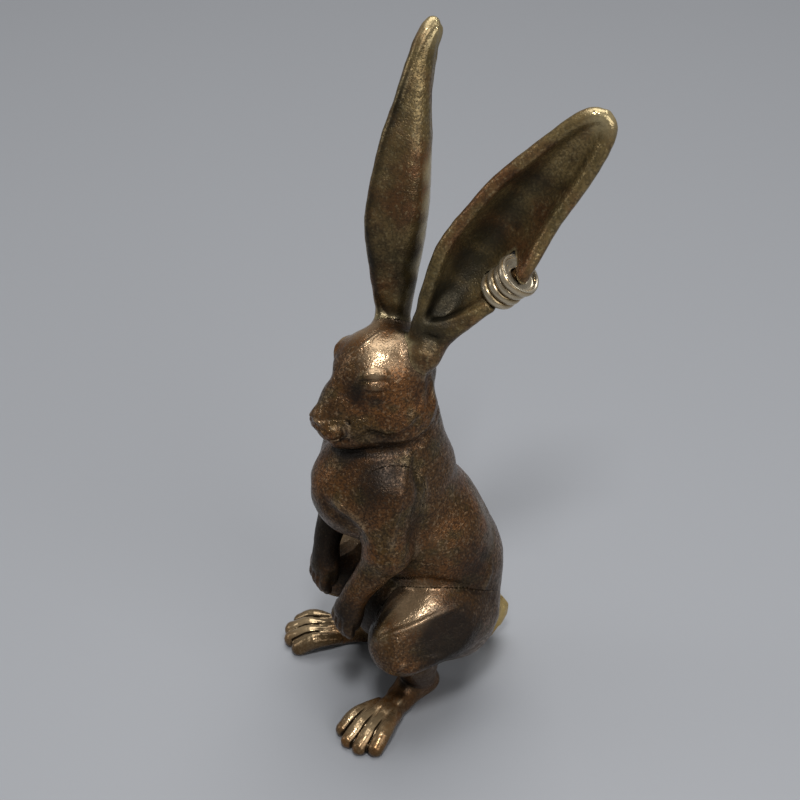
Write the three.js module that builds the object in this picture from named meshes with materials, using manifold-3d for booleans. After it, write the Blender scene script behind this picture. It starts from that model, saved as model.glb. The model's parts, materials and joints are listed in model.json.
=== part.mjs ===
// Brass rabbit ornament: a hare sitting up on its haunches, one ear upright, the other leaning
// back with a ribbed cuff threaded on its rim. Every piece is a separate solid casting that
// plugs into its neighbour with its own tenon and is brazed there. Only the cuff turns.
// Millimetres, +Z up. The rabbit looks along -Y and its left side is +X.
import * as THREE from 'three';
import { mergeVertices } from 'three/addons/utils/BufferGeometryUtils.js';
import Module from 'manifold-3d';

const wasm = await Module();
wasm.setup();

// Gap left for the braze in every seam and socket.
const seam = 0.3;

// The torso is a stack of oval sections. Each has its rise above the section below, its shift
// towards the tail from that section, and its half width and half depth.
const rump = { rise: 8.2, shift: 4.0, halfWidth: 7.6, halfDepth: 6.8 };
const pelvis = { rise: 6.4, shift: -0.3, halfWidth: 9.9, halfDepth: 8.4 };
const loin = { rise: 6.4, shift: -0.5, halfWidth: 10.2, halfDepth: 9.4 };
const belly = { rise: 6.0, shift: -2.3, halfWidth: 9.3, halfDepth: 9.7 };
const ribs = { rise: 5.6, shift: -2.9, halfWidth: 8.5, halfDepth: 10.0 };
const chest = { rise: 5.4, shift: -2.9, halfWidth: 7.9, halfDepth: 10.0 };
const collar = { rise: 4.6, shift: 0.2, halfWidth: 6.8, halfDepth: 8.4 };
const nape = { rise: 4.2, shift: 1.1, halfWidth: 5.6, halfDepth: 6.3 };
const torsoBottomRound = 3.0;
const neckRound = 3.0;

// The breast swells forward from the chest section, and each flank out from the belly section.
const breast = { forward: 4.0, drop: 1.4, halfWidth: 6.3, halfDepth: 6.6, halfHeight: 6.6 };
const flank = { aside: 5.4, back: 0.5, halfWidth: 4.2, halfDepth: 6.0, halfHeight: 7.0 };

// The head, placed from the middle of the skull, which stands above the nape.
const skull = { rise: 7.4, forward: 1.2, halfWidth: 6.1, halfLength: 6.7, halfHeight: 6.6 };
const muzzle = { length: 8.2, drop: 4.7, tipRadius: 2.6, rootForward: 2.4, rootRise: 1.1, rootRadius: 4.7 };
const cheek = { aside: 3.5, drop: 4.0, halfWidth: 3.4, halfLength: 5.2, halfHeight: 4.3 };
const brow = { aside: 2.8, forward: 2.7, rise: 2.1, halfWidth: 1.75, halfLength: 2.6, halfHeight: 1.8 };
const jawHinge = { aside: 3.4, forward: -0.8, drop: 6.7, radius: 2.7 };
const jawMiddle = { aside: 2.2, forward: 4.0, drop: 7.2, radius: 2.1 };
const chin = { aside: 0.7, forward: 7.3, drop: 7.6, radius: 1.5 };
const whiskerPad = { aside: 1.45, forward: 8.6, drop: 5.2, halfWidth: 1.55, halfLength: 1.75, halfHeight: 1.5 };
const nose = { aside: 0, forward: 9.6, drop: 3.6, radius: 1.2 };

// Both ears stand on the crown of the skull. Tip aside and tip back say how far an ear's tip
// lies out and back from its root, and faces is the way that its cup opens.
const earRoot = { aside: 4.5, back: 3.3, rise: 4.3 };
const uprightEar = { length: 39.5, tipAside: 4.1, tipBack: 7.9, faces: [-0.95, -0.2, 0.1] };
const leaningEar = { length: 38.5, tipAside: 7.4, tipBack: 19.9, faces: [0.81, -0.54, 0.22] };
const blade = { halfThick: 0.75, rimRadius: 1.0 };
const stalk = { rootRadius: 2.1, midRadius: 1.6, endRadius: 0.9, share: 0.16, behind: 0.4 };

// Each ear's half width, cup depth and sideways bow, at shares of its length from the root.
const uprightShape = [
  { share: 0.05, half: 1.5, cup: 0.7, bow: 0.4 },
  { share: 0.2, half: 3.0, cup: 2.2, bow: 1.0 },
  { share: 0.4, half: 4.2, cup: 3.2, bow: 1.8 },
  { share: 0.6, half: 3.4, cup: 2.6, bow: 1.9 },
  { share: 0.8, half: 1.6, cup: 1.0, bow: 1.5 },
  { share: 0.92, half: 0.9, cup: 0.3, bow: 0.9 },
  { share: 1, half: 0.6, cup: 0, bow: 0.1 },
];
const leaningShape = [
  { share: 0.05, half: 1.5, cup: 0.7, bow: -0.9 },
  { share: 0.2, half: 3.2, cup: 3.0, bow: -1.5 },
  { share: 0.38, half: 5.0, cup: 4.4, bow: -1.3 },
  { share: 0.6, half: 4.6, cup: 3.6, bow: -1.1 },
  { share: 0.8, half: 3.5, cup: 2.2, bow: -0.3 },
  { share: 0.94, half: 2.3, cup: 0.8, bow: 0.2 },
  { share: 1, half: 1.0, cup: 0, bow: 0.4 },
];

// The cuff on the leaning ear is a turned sleeve of ribs with a flared mouth at its upper end.
// It runs on a straight round bar, where the near rim swings from behind to before the cup.
// Inset is where the bar lies between the middle of the cup, 0, and the rim, 1.
const cuff = { length: 5.2, ribRadius: 2.6, mouthRadius: 2.95, mouthBoreRadius: 2.3, ribs: 4 };
const ribHeight = 0.45;
const rimBarRadius = 1.05;
const boreClearance = 0.45;
const cuffEndPlay = 0.4;
const cuffSidePlay = 0.35;
const cuffShare = 0.365;
const cuffInset = 0.9;
const rimSwing = { height: 3.2, overShare: 0.12 };

// The forelegs hang in front of the chest. Their points lie out, back and down from the middle
// of the chest section.
const shoulder = { aside: 4.8, back: -2.1, drop: -1.2, radius: 4.7 };
const elbow = { aside: 6.7, back: -3.3, drop: 7.4, radius: 3.2 };
const forearm = { aside: 6.2, back: -5.1, drop: 11.6, radius: 2.3 };
const wrist = { aside: 5.3, back: 0.9, rise: 4.6, radius: 1.9 };
const pawHalf = { width: 2.3, depth: 1.75, height: 2.7 };
const leftPaw = { aside: 4.5, back: -8.2, drop: 19.0 };
const rightPaw = { aside: 4.5, back: -7.3, drop: 18.1 };
const fingers = { count: 4, radius: 0.8, pitch: 1.1, length: 2.5, forward: 1.0, arch: 0.35 };

// The haunches. Their points lie out, back and up from the middle of the pelvis section.
const hip = { aside: 5.6, back: -1.3, rise: 0.2, halfWidth: 6.6, halfLength: 7.2, halfHeight: 8.2 };
const thigh = { aside: 7.9, back: -5.3, rise: 2.0, radius: 6.4 };
const knee = { aside: 9.3, back: -10.9, rise: 0.8, radius: 4.9 };

// The hind feet stand flat on the floor with the toes turned out. The heel lies out and back
// from the pelvis, and the toes spread from the ball of the foot.
const heel = { back: -4.8, radius: 1.85 };
const leftFoot = { aside: 4.6, length: 10.4, splay: 24 };
const rightFoot = { aside: 6.4, length: 9.6, splay: 30 };
const soleFlat = 0.35;
const toes = { count: 4, length: 5.4, radius: 1.1, pitch: 1.55, fan: 5, arch: 0.85 };

// The tail curls down from the rump to the floor, the third point that the rabbit rests on.
const tail = { sunk: 1.4, rootRadius: 2.8, bendBack: 2.4, bendDrop: 2.6, bendRadius: 1.9 };
const tailEnd = { back: 1.2, radius: 1.8, flat: 0.2 };

// Each casting's own tenon, a round bar that runs into a socket in its neighbour.
const neckTenon = { radius: 2.8, below: 4.0, above: 5.0 };
const earTenon = { radius: 1.4, depth: 4.6 };
const legTenon = { radius: 1.8, fromMiddle: 1.7 };
const ankleTenon = { radius: 1.3, startShare: 0.3, endShare: 0.75 };
const tailTenon = { radius: 1.4, depth: 3.4, rise: 2.4 };

// How finely round forms are faceted.
const torsoSides = 24;
const limbSides = 12;
const toeSides = 8;
const fingerSides = 8;
const barSides = 16;
const ballSides = 18;
const ballRings = 12;
const cuffSides = 28;
const capRings = 2;
const bladeSteps = 20;
const bladeSpans = 8;
const tipTaper = 0.35;

const FLOOR = 0;
const UP = new THREE.Vector3(0, 0, 1);
const ASIDE = new THREE.Vector3(1, 0, 0);
const V = (x, y, z) => new THREE.Vector3(x, y, z);
const round = (at, radius) => ({ at, wide: radius, deep: radius });

// Turns a closed geometry into a solid that can be joined and cut.
function solid(geometry) {
  const bare = geometry.clone();
  bare.deleteAttribute('normal');
  bare.deleteAttribute('uv');
  const merged = mergeVertices(bare, 1e-4);
  return new wasm.Manifold(new wasm.Mesh({
    numProp: 3,
    vertProperties: new Float32Array(merged.attributes.position.array),
    triVerts: new Uint32Array(merged.index.array),
  }));
}

// Turns a solid back into a geometry.
function toGeometry(body) {
  const { vertProperties, triVerts } = body.getMesh();
  const geometry = new THREE.BufferGeometry();
  geometry.setAttribute('position', new THREE.BufferAttribute(new Float32Array(vertProperties), 3));
  geometry.setIndex(new THREE.BufferAttribute(new Uint32Array(triVerts), 1));
  geometry.computeVertexNormals();
  return geometry;
}

// Skins a row of rings that all have one count of points, and closes it with a point at each end.
// Seen from the far end of the row, the rings turn counterclockwise.
function skin(rings, firstPoint, lastPoint) {
  const sides = rings[0].length;
  const points = [...rings.flat(), firstPoint, lastPoint];
  const first = points.length - 2;
  const last = points.length - 1;
  const top = (rings.length - 1) * sides;
  const index = [];
  for (let i = 0; i < sides; i += 1) {
    const next = (i + 1) % sides;
    index.push(first, next, i);
    index.push(last, top + i, top + next);
    for (let low = 0; low < top; low += sides) {
      const high = low + sides;
      index.push(low + i, low + next, high + next);
      index.push(low + i, high + next, high + i);
    }
  }
  const geometry = new THREE.BufferGeometry().setFromPoints(points);
  geometry.setIndex(index);
  return geometry;
}

// An oval ring square to a direction, with its half width across the rabbit.
function ovalRing(middle, along, wide, deep, sides) {
  const deepWay = along.clone().cross(ASIDE).normalize();
  const wideWay = deepWay.clone().cross(along).normalize();
  return Array.from({ length: sides }, (unused, i) => {
    const turn = (2 * Math.PI * i) / sides;
    return middle.clone()
      .addScaledVector(wideWay, wide * Math.cos(turn))
      .addScaledVector(deepWay, deep * Math.sin(turn));
  });
}

// A limb follows a smooth path through its stations, each with a middle and two half sizes, and
// has rounded ends. Grow makes it thicker all over, for the room that a neighbour leaves it.
// Its rings lie square to the path, unless they are given one facing of their own.
function limb(stations, grow = 0, options = {}) {
  const { sides = limbSides, stepsPerSpan = 3, startRound, endRound, facing } = options;
  const path = new THREE.CatmullRomCurve3(stations.map((station) => station.at));
  const sizes = new THREE.CatmullRomCurve3(stations.map((station) => V(station.wide, station.deep, 0)));
  const steps = stepsPerSpan * (stations.length - 1);
  const rings = [];
  const end = (share, way, reach) => {
    const at = path.getPoint(share);
    const along = facing ?? path.getTangent(share);
    const size = sizes.getPoint(share);
    const far = (reach ?? Math.min(size.x, size.y)) + grow;
    const ring = (turn) => ovalRing(
      at.clone().addScaledVector(along, way * far * Math.cos(turn)),
      along,
      (size.x + grow) * Math.sin(turn),
      (size.y + grow) * Math.sin(turn),
      sides,
    );
    return { ring, point: at.clone().addScaledVector(along, way * far) };
  };
  const turns = Array.from({ length: capRings }, (unused, i) => (0.5 * Math.PI * (i + 1)) / (capRings + 1));
  const start = end(0, -1, startRound);
  const finish = end(1, 1, endRound);
  turns.forEach((turn) => rings.push(start.ring(turn)));
  for (let i = 0; i <= steps; i += 1) {
    const share = i / steps;
    const size = sizes.getPoint(share);
    const along = facing ?? path.getTangent(share);
    rings.push(ovalRing(path.getPoint(share), along, size.x + grow, size.y + grow, sides));
  }
  turns.reverse().forEach((turn) => rings.push(finish.ring(turn)));
  return solid(skin(rings, start.point, finish.point));
}

// A ball with three half sizes.
function ball(at, halfX, halfY, halfZ, grow = 0) {
  const geometry = new THREE.SphereGeometry(1, ballSides, ballRings);
  geometry.rotateX(Math.PI / 2);
  geometry.scale(halfX + grow, halfY + grow, halfZ + grow);
  geometry.translate(at.x, at.y, at.z);
  return solid(geometry);
}

// A round bar between two points. Grow makes it thicker and longer at both ends.
function bar(from, to, radius, grow = 0) {
  const along = to.clone().sub(from);
  const geometry = new THREE.CylinderGeometry(radius + grow, radius + grow, along.length() + 2 * grow, barSides);
  geometry.applyQuaternion(new THREE.Quaternion().setFromUnitVectors(V(0, 1, 0), along.normalize()));
  const middle = from.clone().lerp(to, 0.5);
  geometry.translate(middle.x, middle.y, middle.z);
  return solid(geometry);
}

const join = (bodies) => bodies.reduce((whole, body) => whole.add(body));
const aboveFloor = (body) => body.trimByPlane([0, 0, 1], FLOOR);

// The rabbit's two sides: +1 is its left and -1 its right.
const hands = [1, -1];

// The torso's sections, stacked from the rump up to the nape.
const sections = [rump, pelvis, loin, belly, ribs, chest, collar, nape];
const stack = V(0, 0, FLOOR);
const torsoStations = sections.map((section) => {
  stack.add(V(0, section.shift, section.rise));
  return { at: stack.clone(), wide: section.halfWidth, deep: section.halfDepth };
});
const middleOf = (section) => torsoStations[sections.indexOf(section)].at;

function torsoBody(grow = 0) {
  const trunk = limb(torsoStations, grow, {
    sides: torsoSides,
    startRound: torsoBottomRound,
    endRound: neckRound,
    facing: UP,
  });
  const breastMiddle = middleOf(chest).clone().add(V(0, -breast.forward, -breast.drop));
  const swells = [ball(breastMiddle, breast.halfWidth, breast.halfDepth, breast.halfHeight, grow)];
  hands.forEach((hand) => {
    const flankMiddle = middleOf(belly).clone().add(V(hand * flank.aside, flank.back, 0));
    swells.push(ball(flankMiddle, flank.halfWidth, flank.halfDepth, flank.halfHeight, grow));
  });
  return join([trunk, ...swells]);
}

const skullMiddle = middleOf(nape).clone().add(V(0, -skull.forward, skull.rise));
const muzzleTip = skullMiddle.clone().add(V(0, -muzzle.length, -muzzle.drop));

function headBody(grow = 0) {
  const facePoint = (hand, spot) => (
    skullMiddle.clone().add(V(hand * spot.aside, -spot.forward, -spot.drop))
  );
  const muzzleRoot = skullMiddle.clone().add(V(0, -muzzle.rootForward, muzzle.rootRise));
  const parts = [
    ball(skullMiddle, skull.halfWidth, skull.halfLength, skull.halfHeight, grow),
    limb([round(muzzleRoot, muzzle.rootRadius), round(muzzleTip, muzzle.tipRadius)], grow),
    ball(facePoint(0, nose), nose.radius, nose.radius, nose.radius, grow),
  ];
  hands.forEach((hand) => {
    const cheekMiddle = skullMiddle.clone().add(V(hand * cheek.aside, 0, -cheek.drop));
    const browMiddle = skullMiddle.clone().add(V(hand * brow.aside, -brow.forward, brow.rise));
    const padMiddle = facePoint(hand, whiskerPad);
    const jaw = [jawHinge, jawMiddle, chin].map((spot) => round(facePoint(hand, spot), spot.radius));
    parts.push(ball(cheekMiddle, cheek.halfWidth, cheek.halfLength, cheek.halfHeight, grow));
    parts.push(ball(browMiddle, brow.halfWidth, brow.halfLength, brow.halfHeight, grow));
    parts.push(ball(padMiddle, whiskerPad.halfWidth, whiskerPad.halfLength, whiskerPad.halfHeight, grow));
    parts.push(limb(jaw, grow, { stepsPerSpan: 2 }));
  });
  return join(parts);
}

function neckTenonBar(grow = 0) {
  const seat = middleOf(nape);
  const bottom = seat.clone().addScaledVector(UP, -neckTenon.below);
  return bar(bottom, seat.clone().addScaledVector(UP, neckTenon.above), neckTenon.radius, grow);
}

// An ear's own frame: along it, across it from rim to rim, and the way that its cup opens.
// The middle surface of its blade is a parabola across, and u runs over it from rim to rim.
// Swing is how far the rim at u = 1 swings along the way that the cup opens.
function earFrame(hand, ear, shape, swing = 0) {
  const root = skullMiddle.clone().add(V(hand * earRoot.aside, earRoot.back, earRoot.rise));
  const tipRise = Math.sqrt(ear.length ** 2 - ear.tipAside ** 2 - ear.tipBack ** 2);
  const along = V(hand * ear.tipAside, ear.tipBack, tipRise).normalize();
  const opens = V(...ear.faces);
  opens.addScaledVector(along, -opens.dot(along)).normalize();
  const across = along.clone().cross(opens);
  const sizes = new THREE.SplineCurve(shape.map((s) => new THREE.Vector2(s.half, s.cup)));
  const places = new THREE.SplineCurve(shape.map((s) => new THREE.Vector2(s.share, s.bow)));
  const stationAt = (t) => {
    const size = sizes.getPoint(t);
    const place = places.getPoint(t);
    return { share: place.x, half: size.x, cup: Math.max(size.y, 0), bow: place.y };
  };
  const stationAtShare = (share) => {
    let low = 0;
    let high = 1;
    for (let i = 0; i < 30; i += 1) {
      const middle = (low + high) / 2;
      if (stationAt(middle).share < share) low = middle;
      else high = middle;
    }
    return stationAt(low);
  };
  const swung = (share, u) => {
    const turn = (share - cuffShare) / rimSwing.overShare;
    return swing * turn * Math.exp(-(turn ** 2)) * Math.max(u, 0) ** 2;
  };
  const pointOn = (station, u, lift = 0) => {
    const slope = (2 * station.cup * u) / station.half;
    const size = Math.hypot(slope, 1);
    return root.clone()
      .addScaledVector(along, station.share * ear.length)
      .addScaledVector(across, station.bow + station.half * u - (lift * slope) / size)
      .addScaledVector(opens, lift / size - station.cup * (1 - u * u) + swung(station.share, u));
  };
  return { root, along, stationAt, stationAtShare, pointOn };
}

// The round of a rim: three points that lead over from one face of the blade to the other.
function rimRound(frame, station, u, half) {
  const middle = frame.pointOn(station, u);
  const face = frame.pointOn(station, u, half).sub(middle);
  const outward = face.clone().cross(frame.along).normalize().multiplyScalar(-u * half);
  return [-45, 0, 45].map((degrees) => {
    const turn = THREE.MathUtils.degToRad(-degrees * u);
    return middle.clone().addScaledVector(outward, Math.cos(turn)).addScaledVector(face, Math.sin(turn));
  });
}

// The ear's blade: a cupped leaf that thickens to its rounded rims, lofted from root to tip.
function earBlade(frame) {
  const rim = blade.rimRadius;
  const halfAt = (u) => blade.halfThick + (rim - blade.halfThick) * u ** 4;
  const rings = Array.from({ length: bladeSteps + 1 }, (unused, i) => {
    const station = frame.stationAt(i / bladeSteps);
    const shares = Array.from({ length: bladeSpans + 1 }, (skipped, j) => (2 * j) / bladeSpans - 1);
    return [
      ...shares.map((u) => frame.pointOn(station, -u, -halfAt(u))),
      ...rimRound(frame, station, -1, rim),
      ...shares.map((u) => frame.pointOn(station, u, halfAt(u))),
      ...rimRound(frame, station, 1, rim),
    ];
  });
  const root = frame.pointOn(frame.stationAt(0), 0).addScaledVector(frame.along, -rim);
  const tip = frame.pointOn(frame.stationAt(1), 0).addScaledVector(frame.along, rim);
  const tipRing = rings[rings.length - 1].map((point) => point.clone().lerp(tip, tipTaper));
  tipRing.forEach((point) => point.addScaledVector(frame.along, rim * tipTaper));
  return solid(skin([...rings, tipRing], root, tip));
}

// The stalk that the blade grows out of, round at the root and fading into the cup's back.
function earStalk(frame) {
  const bottomAt = (share) => frame.pointOn(frame.stationAtShare(share), 0, -stalk.behind);
  return limb([
    round(frame.root, stalk.rootRadius),
    round(bottomAt(stalk.share / 2), stalk.midRadius),
    round(bottomAt(stalk.share), stalk.endRadius),
  ]);
}

function earTenonBar(frame, grow = 0) {
  const inside = frame.root.clone().addScaledVector(frame.along, -earTenon.depth);
  const outside = frame.root.clone().addScaledVector(frame.along, stalk.rootRadius);
  return bar(inside, outside, earTenon.radius, grow);
}

const uprightFrame = earFrame(-1, uprightEar, uprightShape);
const leaningFrame = earFrame(1, leaningEar, leaningShape, rimSwing.height);

function earPiece(frame) {
  return join([earBlade(frame), earStalk(frame)]).subtract(headBody(seam)).add(earTenonBar(frame));
}

// The cuff's middle and axis, along the near rim of the leaning ear.
const rimAt = (share) => leaningFrame.pointOn(leaningFrame.stationAtShare(share), cuffInset);
const cuffHalfShare = cuff.length / 2 / leaningEar.length;
const cuffMiddle = rimAt(cuffShare);
const cuffAxis = rimAt(cuffShare + cuffHalfShare).sub(rimAt(cuffShare - cuffHalfShare)).normalize();

// A window in the blade leaves the cuff room to turn, and the rim runs through it as a bar.
function leaningEarPiece() {
  const barAlongRim = (halfLength, radius) => bar(
    cuffMiddle.clone().addScaledVector(cuffAxis, -halfLength),
    cuffMiddle.clone().addScaledVector(cuffAxis, halfLength),
    radius,
  );
  const halfWindow = cuff.length / 2 + cuffEndPlay;
  const window = barAlongRim(halfWindow, cuff.mouthRadius + cuffSidePlay);
  const rimBar = barAlongRim(halfWindow + rimBarRadius, rimBarRadius);
  return earPiece(leaningFrame).subtract(window).add(rimBar);
}

// The cuff's profile goes up over the ribs to the mouth and comes back down through the bore.
function cuffGeometry() {
  const half = cuff.length / 2;
  const pitch = cuff.length / cuff.ribs;
  const boreRadius = rimBarRadius + boreClearance;
  const profile = [new THREE.Vector2(boreRadius, -half)];
  profile.push(new THREE.Vector2(cuff.ribRadius - ribHeight, -half));
  for (let rib = 0; rib < cuff.ribs; rib += 1) {
    const middle = (rib + 0.5) * pitch - half;
    const crest = rib === cuff.ribs - 1 ? cuff.mouthRadius : cuff.ribRadius;
    [-0.6, 0, 0.6, 1].forEach((place) => {
      const bulge = Math.sqrt(1 - place ** 2);
      profile.push(new THREE.Vector2(crest - ribHeight * (1 - bulge), middle + (place * pitch) / 2));
    });
  }
  profile.push(new THREE.Vector2(cuff.mouthBoreRadius, half));
  profile.push(new THREE.Vector2(boreRadius, half - pitch));
  profile.push(profile[0].clone());
  return new THREE.LatheGeometry(profile, cuffSides).rotateX(Math.PI / 2);
}

const pelvisPoint = (hand, spot) => middleOf(pelvis).clone().add(V(hand * spot.aside, spot.back, spot.rise));
const chestPoint = (hand, spot) => middleOf(chest).clone().add(V(hand * spot.aside, spot.back, -spot.drop));

// A leg's tenon runs straight in towards the middle of the torso.
function legTenonBar(hand, point, outerX, grow = 0) {
  const inner = V(hand * legTenon.fromMiddle, point.y, point.z);
  return bar(inner, V(hand * outerX, point.y, point.z), legTenon.radius, grow);
}

function haunchBody(hand, grow = 0) {
  const thighMiddle = pelvisPoint(hand, thigh);
  const leg = limb([round(thighMiddle, thigh.radius), round(pelvisPoint(hand, knee), knee.radius)], grow);
  return ball(pelvisPoint(hand, hip), hip.halfWidth, hip.halfLength, hip.halfHeight, grow).add(leg);
}

const hipTenonBar = (hand, grow = 0) => (
  legTenonBar(hand, pelvisPoint(hand, thigh), thigh.aside + thigh.radius / 2, grow)
);
const shoulderTenonBar = (hand, grow = 0) => (
  legTenonBar(hand, chestPoint(hand, shoulder), shoulder.aside + shoulder.radius * 0.8, grow)
);

// The paw's fingers lie side by side down its front, each with a low arch.
function fingerRow(pawMiddle) {
  return Array.from({ length: fingers.count }, (unused, i) => {
    const place = (i - (fingers.count - 1) / 2) * fingers.pitch;
    const top = pawMiddle.clone().add(V(place, -fingers.forward, 0));
    const tip = top.clone().addScaledVector(UP, -fingers.length);
    const middle = top.clone().lerp(tip, 0.5).add(V(0, -fingers.arch, 0));
    const row = [top, middle, tip].map((at) => round(at, fingers.radius));
    return limb(row, 0, { sides: fingerSides, stepsPerSpan: 1 });
  });
}

function forelegPiece(hand) {
  const elbowMiddle = chestPoint(hand, elbow);
  const pawMiddle = chestPoint(hand, hand > 0 ? leftPaw : rightPaw);
  const wristMiddle = V(hand * wrist.aside, pawMiddle.y + wrist.back, pawMiddle.z + wrist.rise);
  const upper = limb([round(chestPoint(hand, shoulder), shoulder.radius), round(elbowMiddle, elbow.radius)]);
  const lower = limb([
    round(elbowMiddle, elbow.radius),
    round(chestPoint(hand, forearm), forearm.radius),
    round(wristMiddle, wrist.radius),
    { at: pawMiddle, wide: pawHalf.width, deep: pawHalf.depth },
  ], 0, { stepsPerSpan: 2, endRound: pawHalf.height });
  return join([upper, lower, ...fingerRow(pawMiddle)])
    .subtract(torsoBody(seam))
    .subtract(haunchBody(hand, seam))
    .add(shoulderTenonBar(hand));
}

const footOf = (hand) => (hand > 0 ? leftFoot : rightFoot);

// The heel and sole lie so low that the floor cuts them flat.
function heelPoint(hand) {
  const heelBack = middleOf(pelvis).y + heel.back;
  return V(hand * footOf(hand).aside, heelBack, FLOOR + heel.radius - soleFlat);
}

// The lower leg runs from the heel up towards the middle of the bent leg.
function lowerLegPoint(hand, share) {
  const bentLeg = pelvisPoint(hand, thigh).lerp(pelvisPoint(hand, knee), 0.5);
  return heelPoint(hand).lerp(bentLeg, share);
}

function ankleTenonBar(hand, grow = 0) {
  const { radius, startShare, endShare } = ankleTenon;
  return bar(lowerLegPoint(hand, startShare), lowerLegPoint(hand, endShare), radius, grow);
}

const splayOf = (hand) => THREE.MathUtils.degToRad(footOf(hand).splay);

// A toe lies along the foot, turned out by its place in the row, and bends down at its tip.
function toeLimb(hand, ballMiddle, i) {
  const place = i - (toes.count - 1) / 2;
  const turn = splayOf(hand) + THREE.MathUtils.degToRad(place * toes.fan);
  const forward = V(hand * Math.sin(turn), -Math.cos(turn), 0);
  const sideways = V(hand * Math.cos(turn), Math.sin(turn), 0);
  const root = V(ballMiddle.x, ballMiddle.y, FLOOR + toes.radius).addScaledVector(sideways, place * toes.pitch);
  const tip = root.clone().addScaledVector(forward, toes.length).addScaledVector(UP, -soleFlat);
  const knuckle = root.clone().lerp(tip, 0.5).addScaledVector(UP, toes.arch);
  return limb([
    round(root.addScaledVector(UP, toes.arch), toes.radius),
    round(knuckle, toes.radius),
    round(tip, toes.radius),
  ], 0, { sides: toeSides, stepsPerSpan: 2 });
}

function hindFootPiece(hand) {
  const heelMiddle = heelPoint(hand);
  const splay = splayOf(hand);
  const ballMiddle = heelMiddle.clone()
    .addScaledVector(V(hand * Math.sin(splay), -Math.cos(splay), 0), footOf(hand).length);
  const ballHalfWidth = ((toes.count - 1) * toes.pitch) / 2 + toes.radius / 2;
  const foot = limb([
    round(heelMiddle, heel.radius),
    round(heelMiddle.clone().lerp(ballMiddle, 0.5), heel.radius),
    { at: ballMiddle, wide: ballHalfWidth, deep: heel.radius },
  ]);
  const ankle = limb([round(heelMiddle, heel.radius), round(lowerLegPoint(hand, 0.6), heel.radius)]);
  const row = Array.from({ length: toes.count }, (unused, i) => toeLimb(hand, ballMiddle, i));
  return aboveFloor(join([foot, ankle, ...row]))
    .subtract(haunchBody(hand, seam))
    .subtract(torsoBody(seam))
    .add(ankleTenonBar(hand));
}

function haunchPiece(hand) {
  return haunchBody(hand)
    .subtract(torsoBody(seam))
    .subtract(ankleTenonBar(hand, seam))
    .add(hipTenonBar(hand));
}

// The tail's root is sunk in the rump, and its tip lies flat on the floor.
const tailRoot = middleOf(rump).clone().add(V(0, rump.halfDepth - tail.sunk, 0));
const rumpSkin = tailRoot.y + tail.sunk;
const tailBend = V(0, rumpSkin + tail.bendBack, tailRoot.z - tail.bendDrop);
const tailTip = V(0, rumpSkin + tailEnd.back, FLOOR + tailEnd.radius - tailEnd.flat);

function tailTenonBar(grow = 0) {
  const inside = tailRoot.clone().add(V(0, -tailTenon.depth, tailTenon.rise));
  return bar(inside, tailRoot.clone().lerp(tailBend, 0.6), tailTenon.radius, grow);
}

function tailPiece() {
  const lobe = limb([
    round(tailRoot, tail.rootRadius),
    round(tailBend, tail.bendRadius),
    round(tailTip, tailEnd.radius),
  ]);
  return aboveFloor(lobe).subtract(torsoBody(seam)).add(tailTenonBar());
}

function headPiece() {
  return headBody()
    .subtract(neckTenonBar(seam))
    .subtract(earTenonBar(uprightFrame, seam))
    .subtract(earTenonBar(leaningFrame, seam));
}

function torsoPiece() {
  const sockets = [tailTenonBar(seam)];
  hands.forEach((hand) => sockets.push(hipTenonBar(hand, seam), shoulderTenonBar(hand, seam)));
  return sockets.reduce((body, socket) => body.subtract(socket), torsoBody().subtract(headBody(seam)))
    .add(neckTenonBar());
}

// The finishes: dark brown patina, a greener one on the ears, and two rubbed lighter metals.
const brownBrass = new THREE.MeshStandardMaterial({ color: '#4b3a28', roughness: 0.36, metalness: 0.85 });
const oliveBrass = new THREE.MeshStandardMaterial({ color: '#4a4430', roughness: 0.4, metalness: 0.85 });
const brightBrass = new THREE.MeshStandardMaterial({ color: '#8c7138', roughness: 0.3, metalness: 1 });
const paleBrass = new THREE.MeshStandardMaterial({ color: '#a3906c', roughness: 0.3, metalness: 1 });

const rabbit = new THREE.Group();

function place(name, geometry, material) {
  const mesh = new THREE.Mesh(geometry, material);
  mesh.name = name;
  rabbit.add(mesh);
  return mesh;
}

place('torso', toGeometry(torsoPiece()), brownBrass);
place('head', toGeometry(headPiece()), brownBrass);
place('ear_right', toGeometry(earPiece(uprightFrame)), oliveBrass);
place('ear_left', toGeometry(leaningEarPiece()), oliveBrass);
[[1, 'left'], [-1, 'right']].forEach(([hand, side]) => {
  place(`foreleg_${side}`, toGeometry(forelegPiece(hand)), brownBrass);
  place(`haunch_${side}`, toGeometry(haunchPiece(hand)), brownBrass);
  place(`hind_foot_${side}`, toGeometry(hindFootPiece(hand)), brownBrass);
});
place('tail', toGeometry(tailPiece()), brightBrass);
const cuffMesh = place('ear_cuff', cuffGeometry(), paleBrass);
cuffMesh.position.copy(cuffMiddle);
cuffMesh.quaternion.setFromUnitVectors(UP, cuffAxis);

// The origin is the middle of the rabbit's footprint, on the floor.
rabbit.updateMatrixWorld(true);
const extent = new THREE.Box3().setFromObject(rabbit, true);
const ornament = new THREE.Group();
ornament.add(rabbit);
rabbit.position.set(-(extent.min.x + extent.max.x) / 2, -(extent.min.y + extent.max.y) / 2, -extent.min.z);

export default ornament;
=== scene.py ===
"""A cast brass rabbit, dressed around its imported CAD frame.

Each casting is sculpted as a distance field in the rabbit's own millimetres: x runs out to its
left side, y back to its tail, z up, and the floor is z = 0. The fields are blended into one skin,
and each casting keeps the share of the skin that lies nearest to its own forms.
"""
import json

import bpy
import numpy as np
from mathutils import Matrix, Vector


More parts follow.
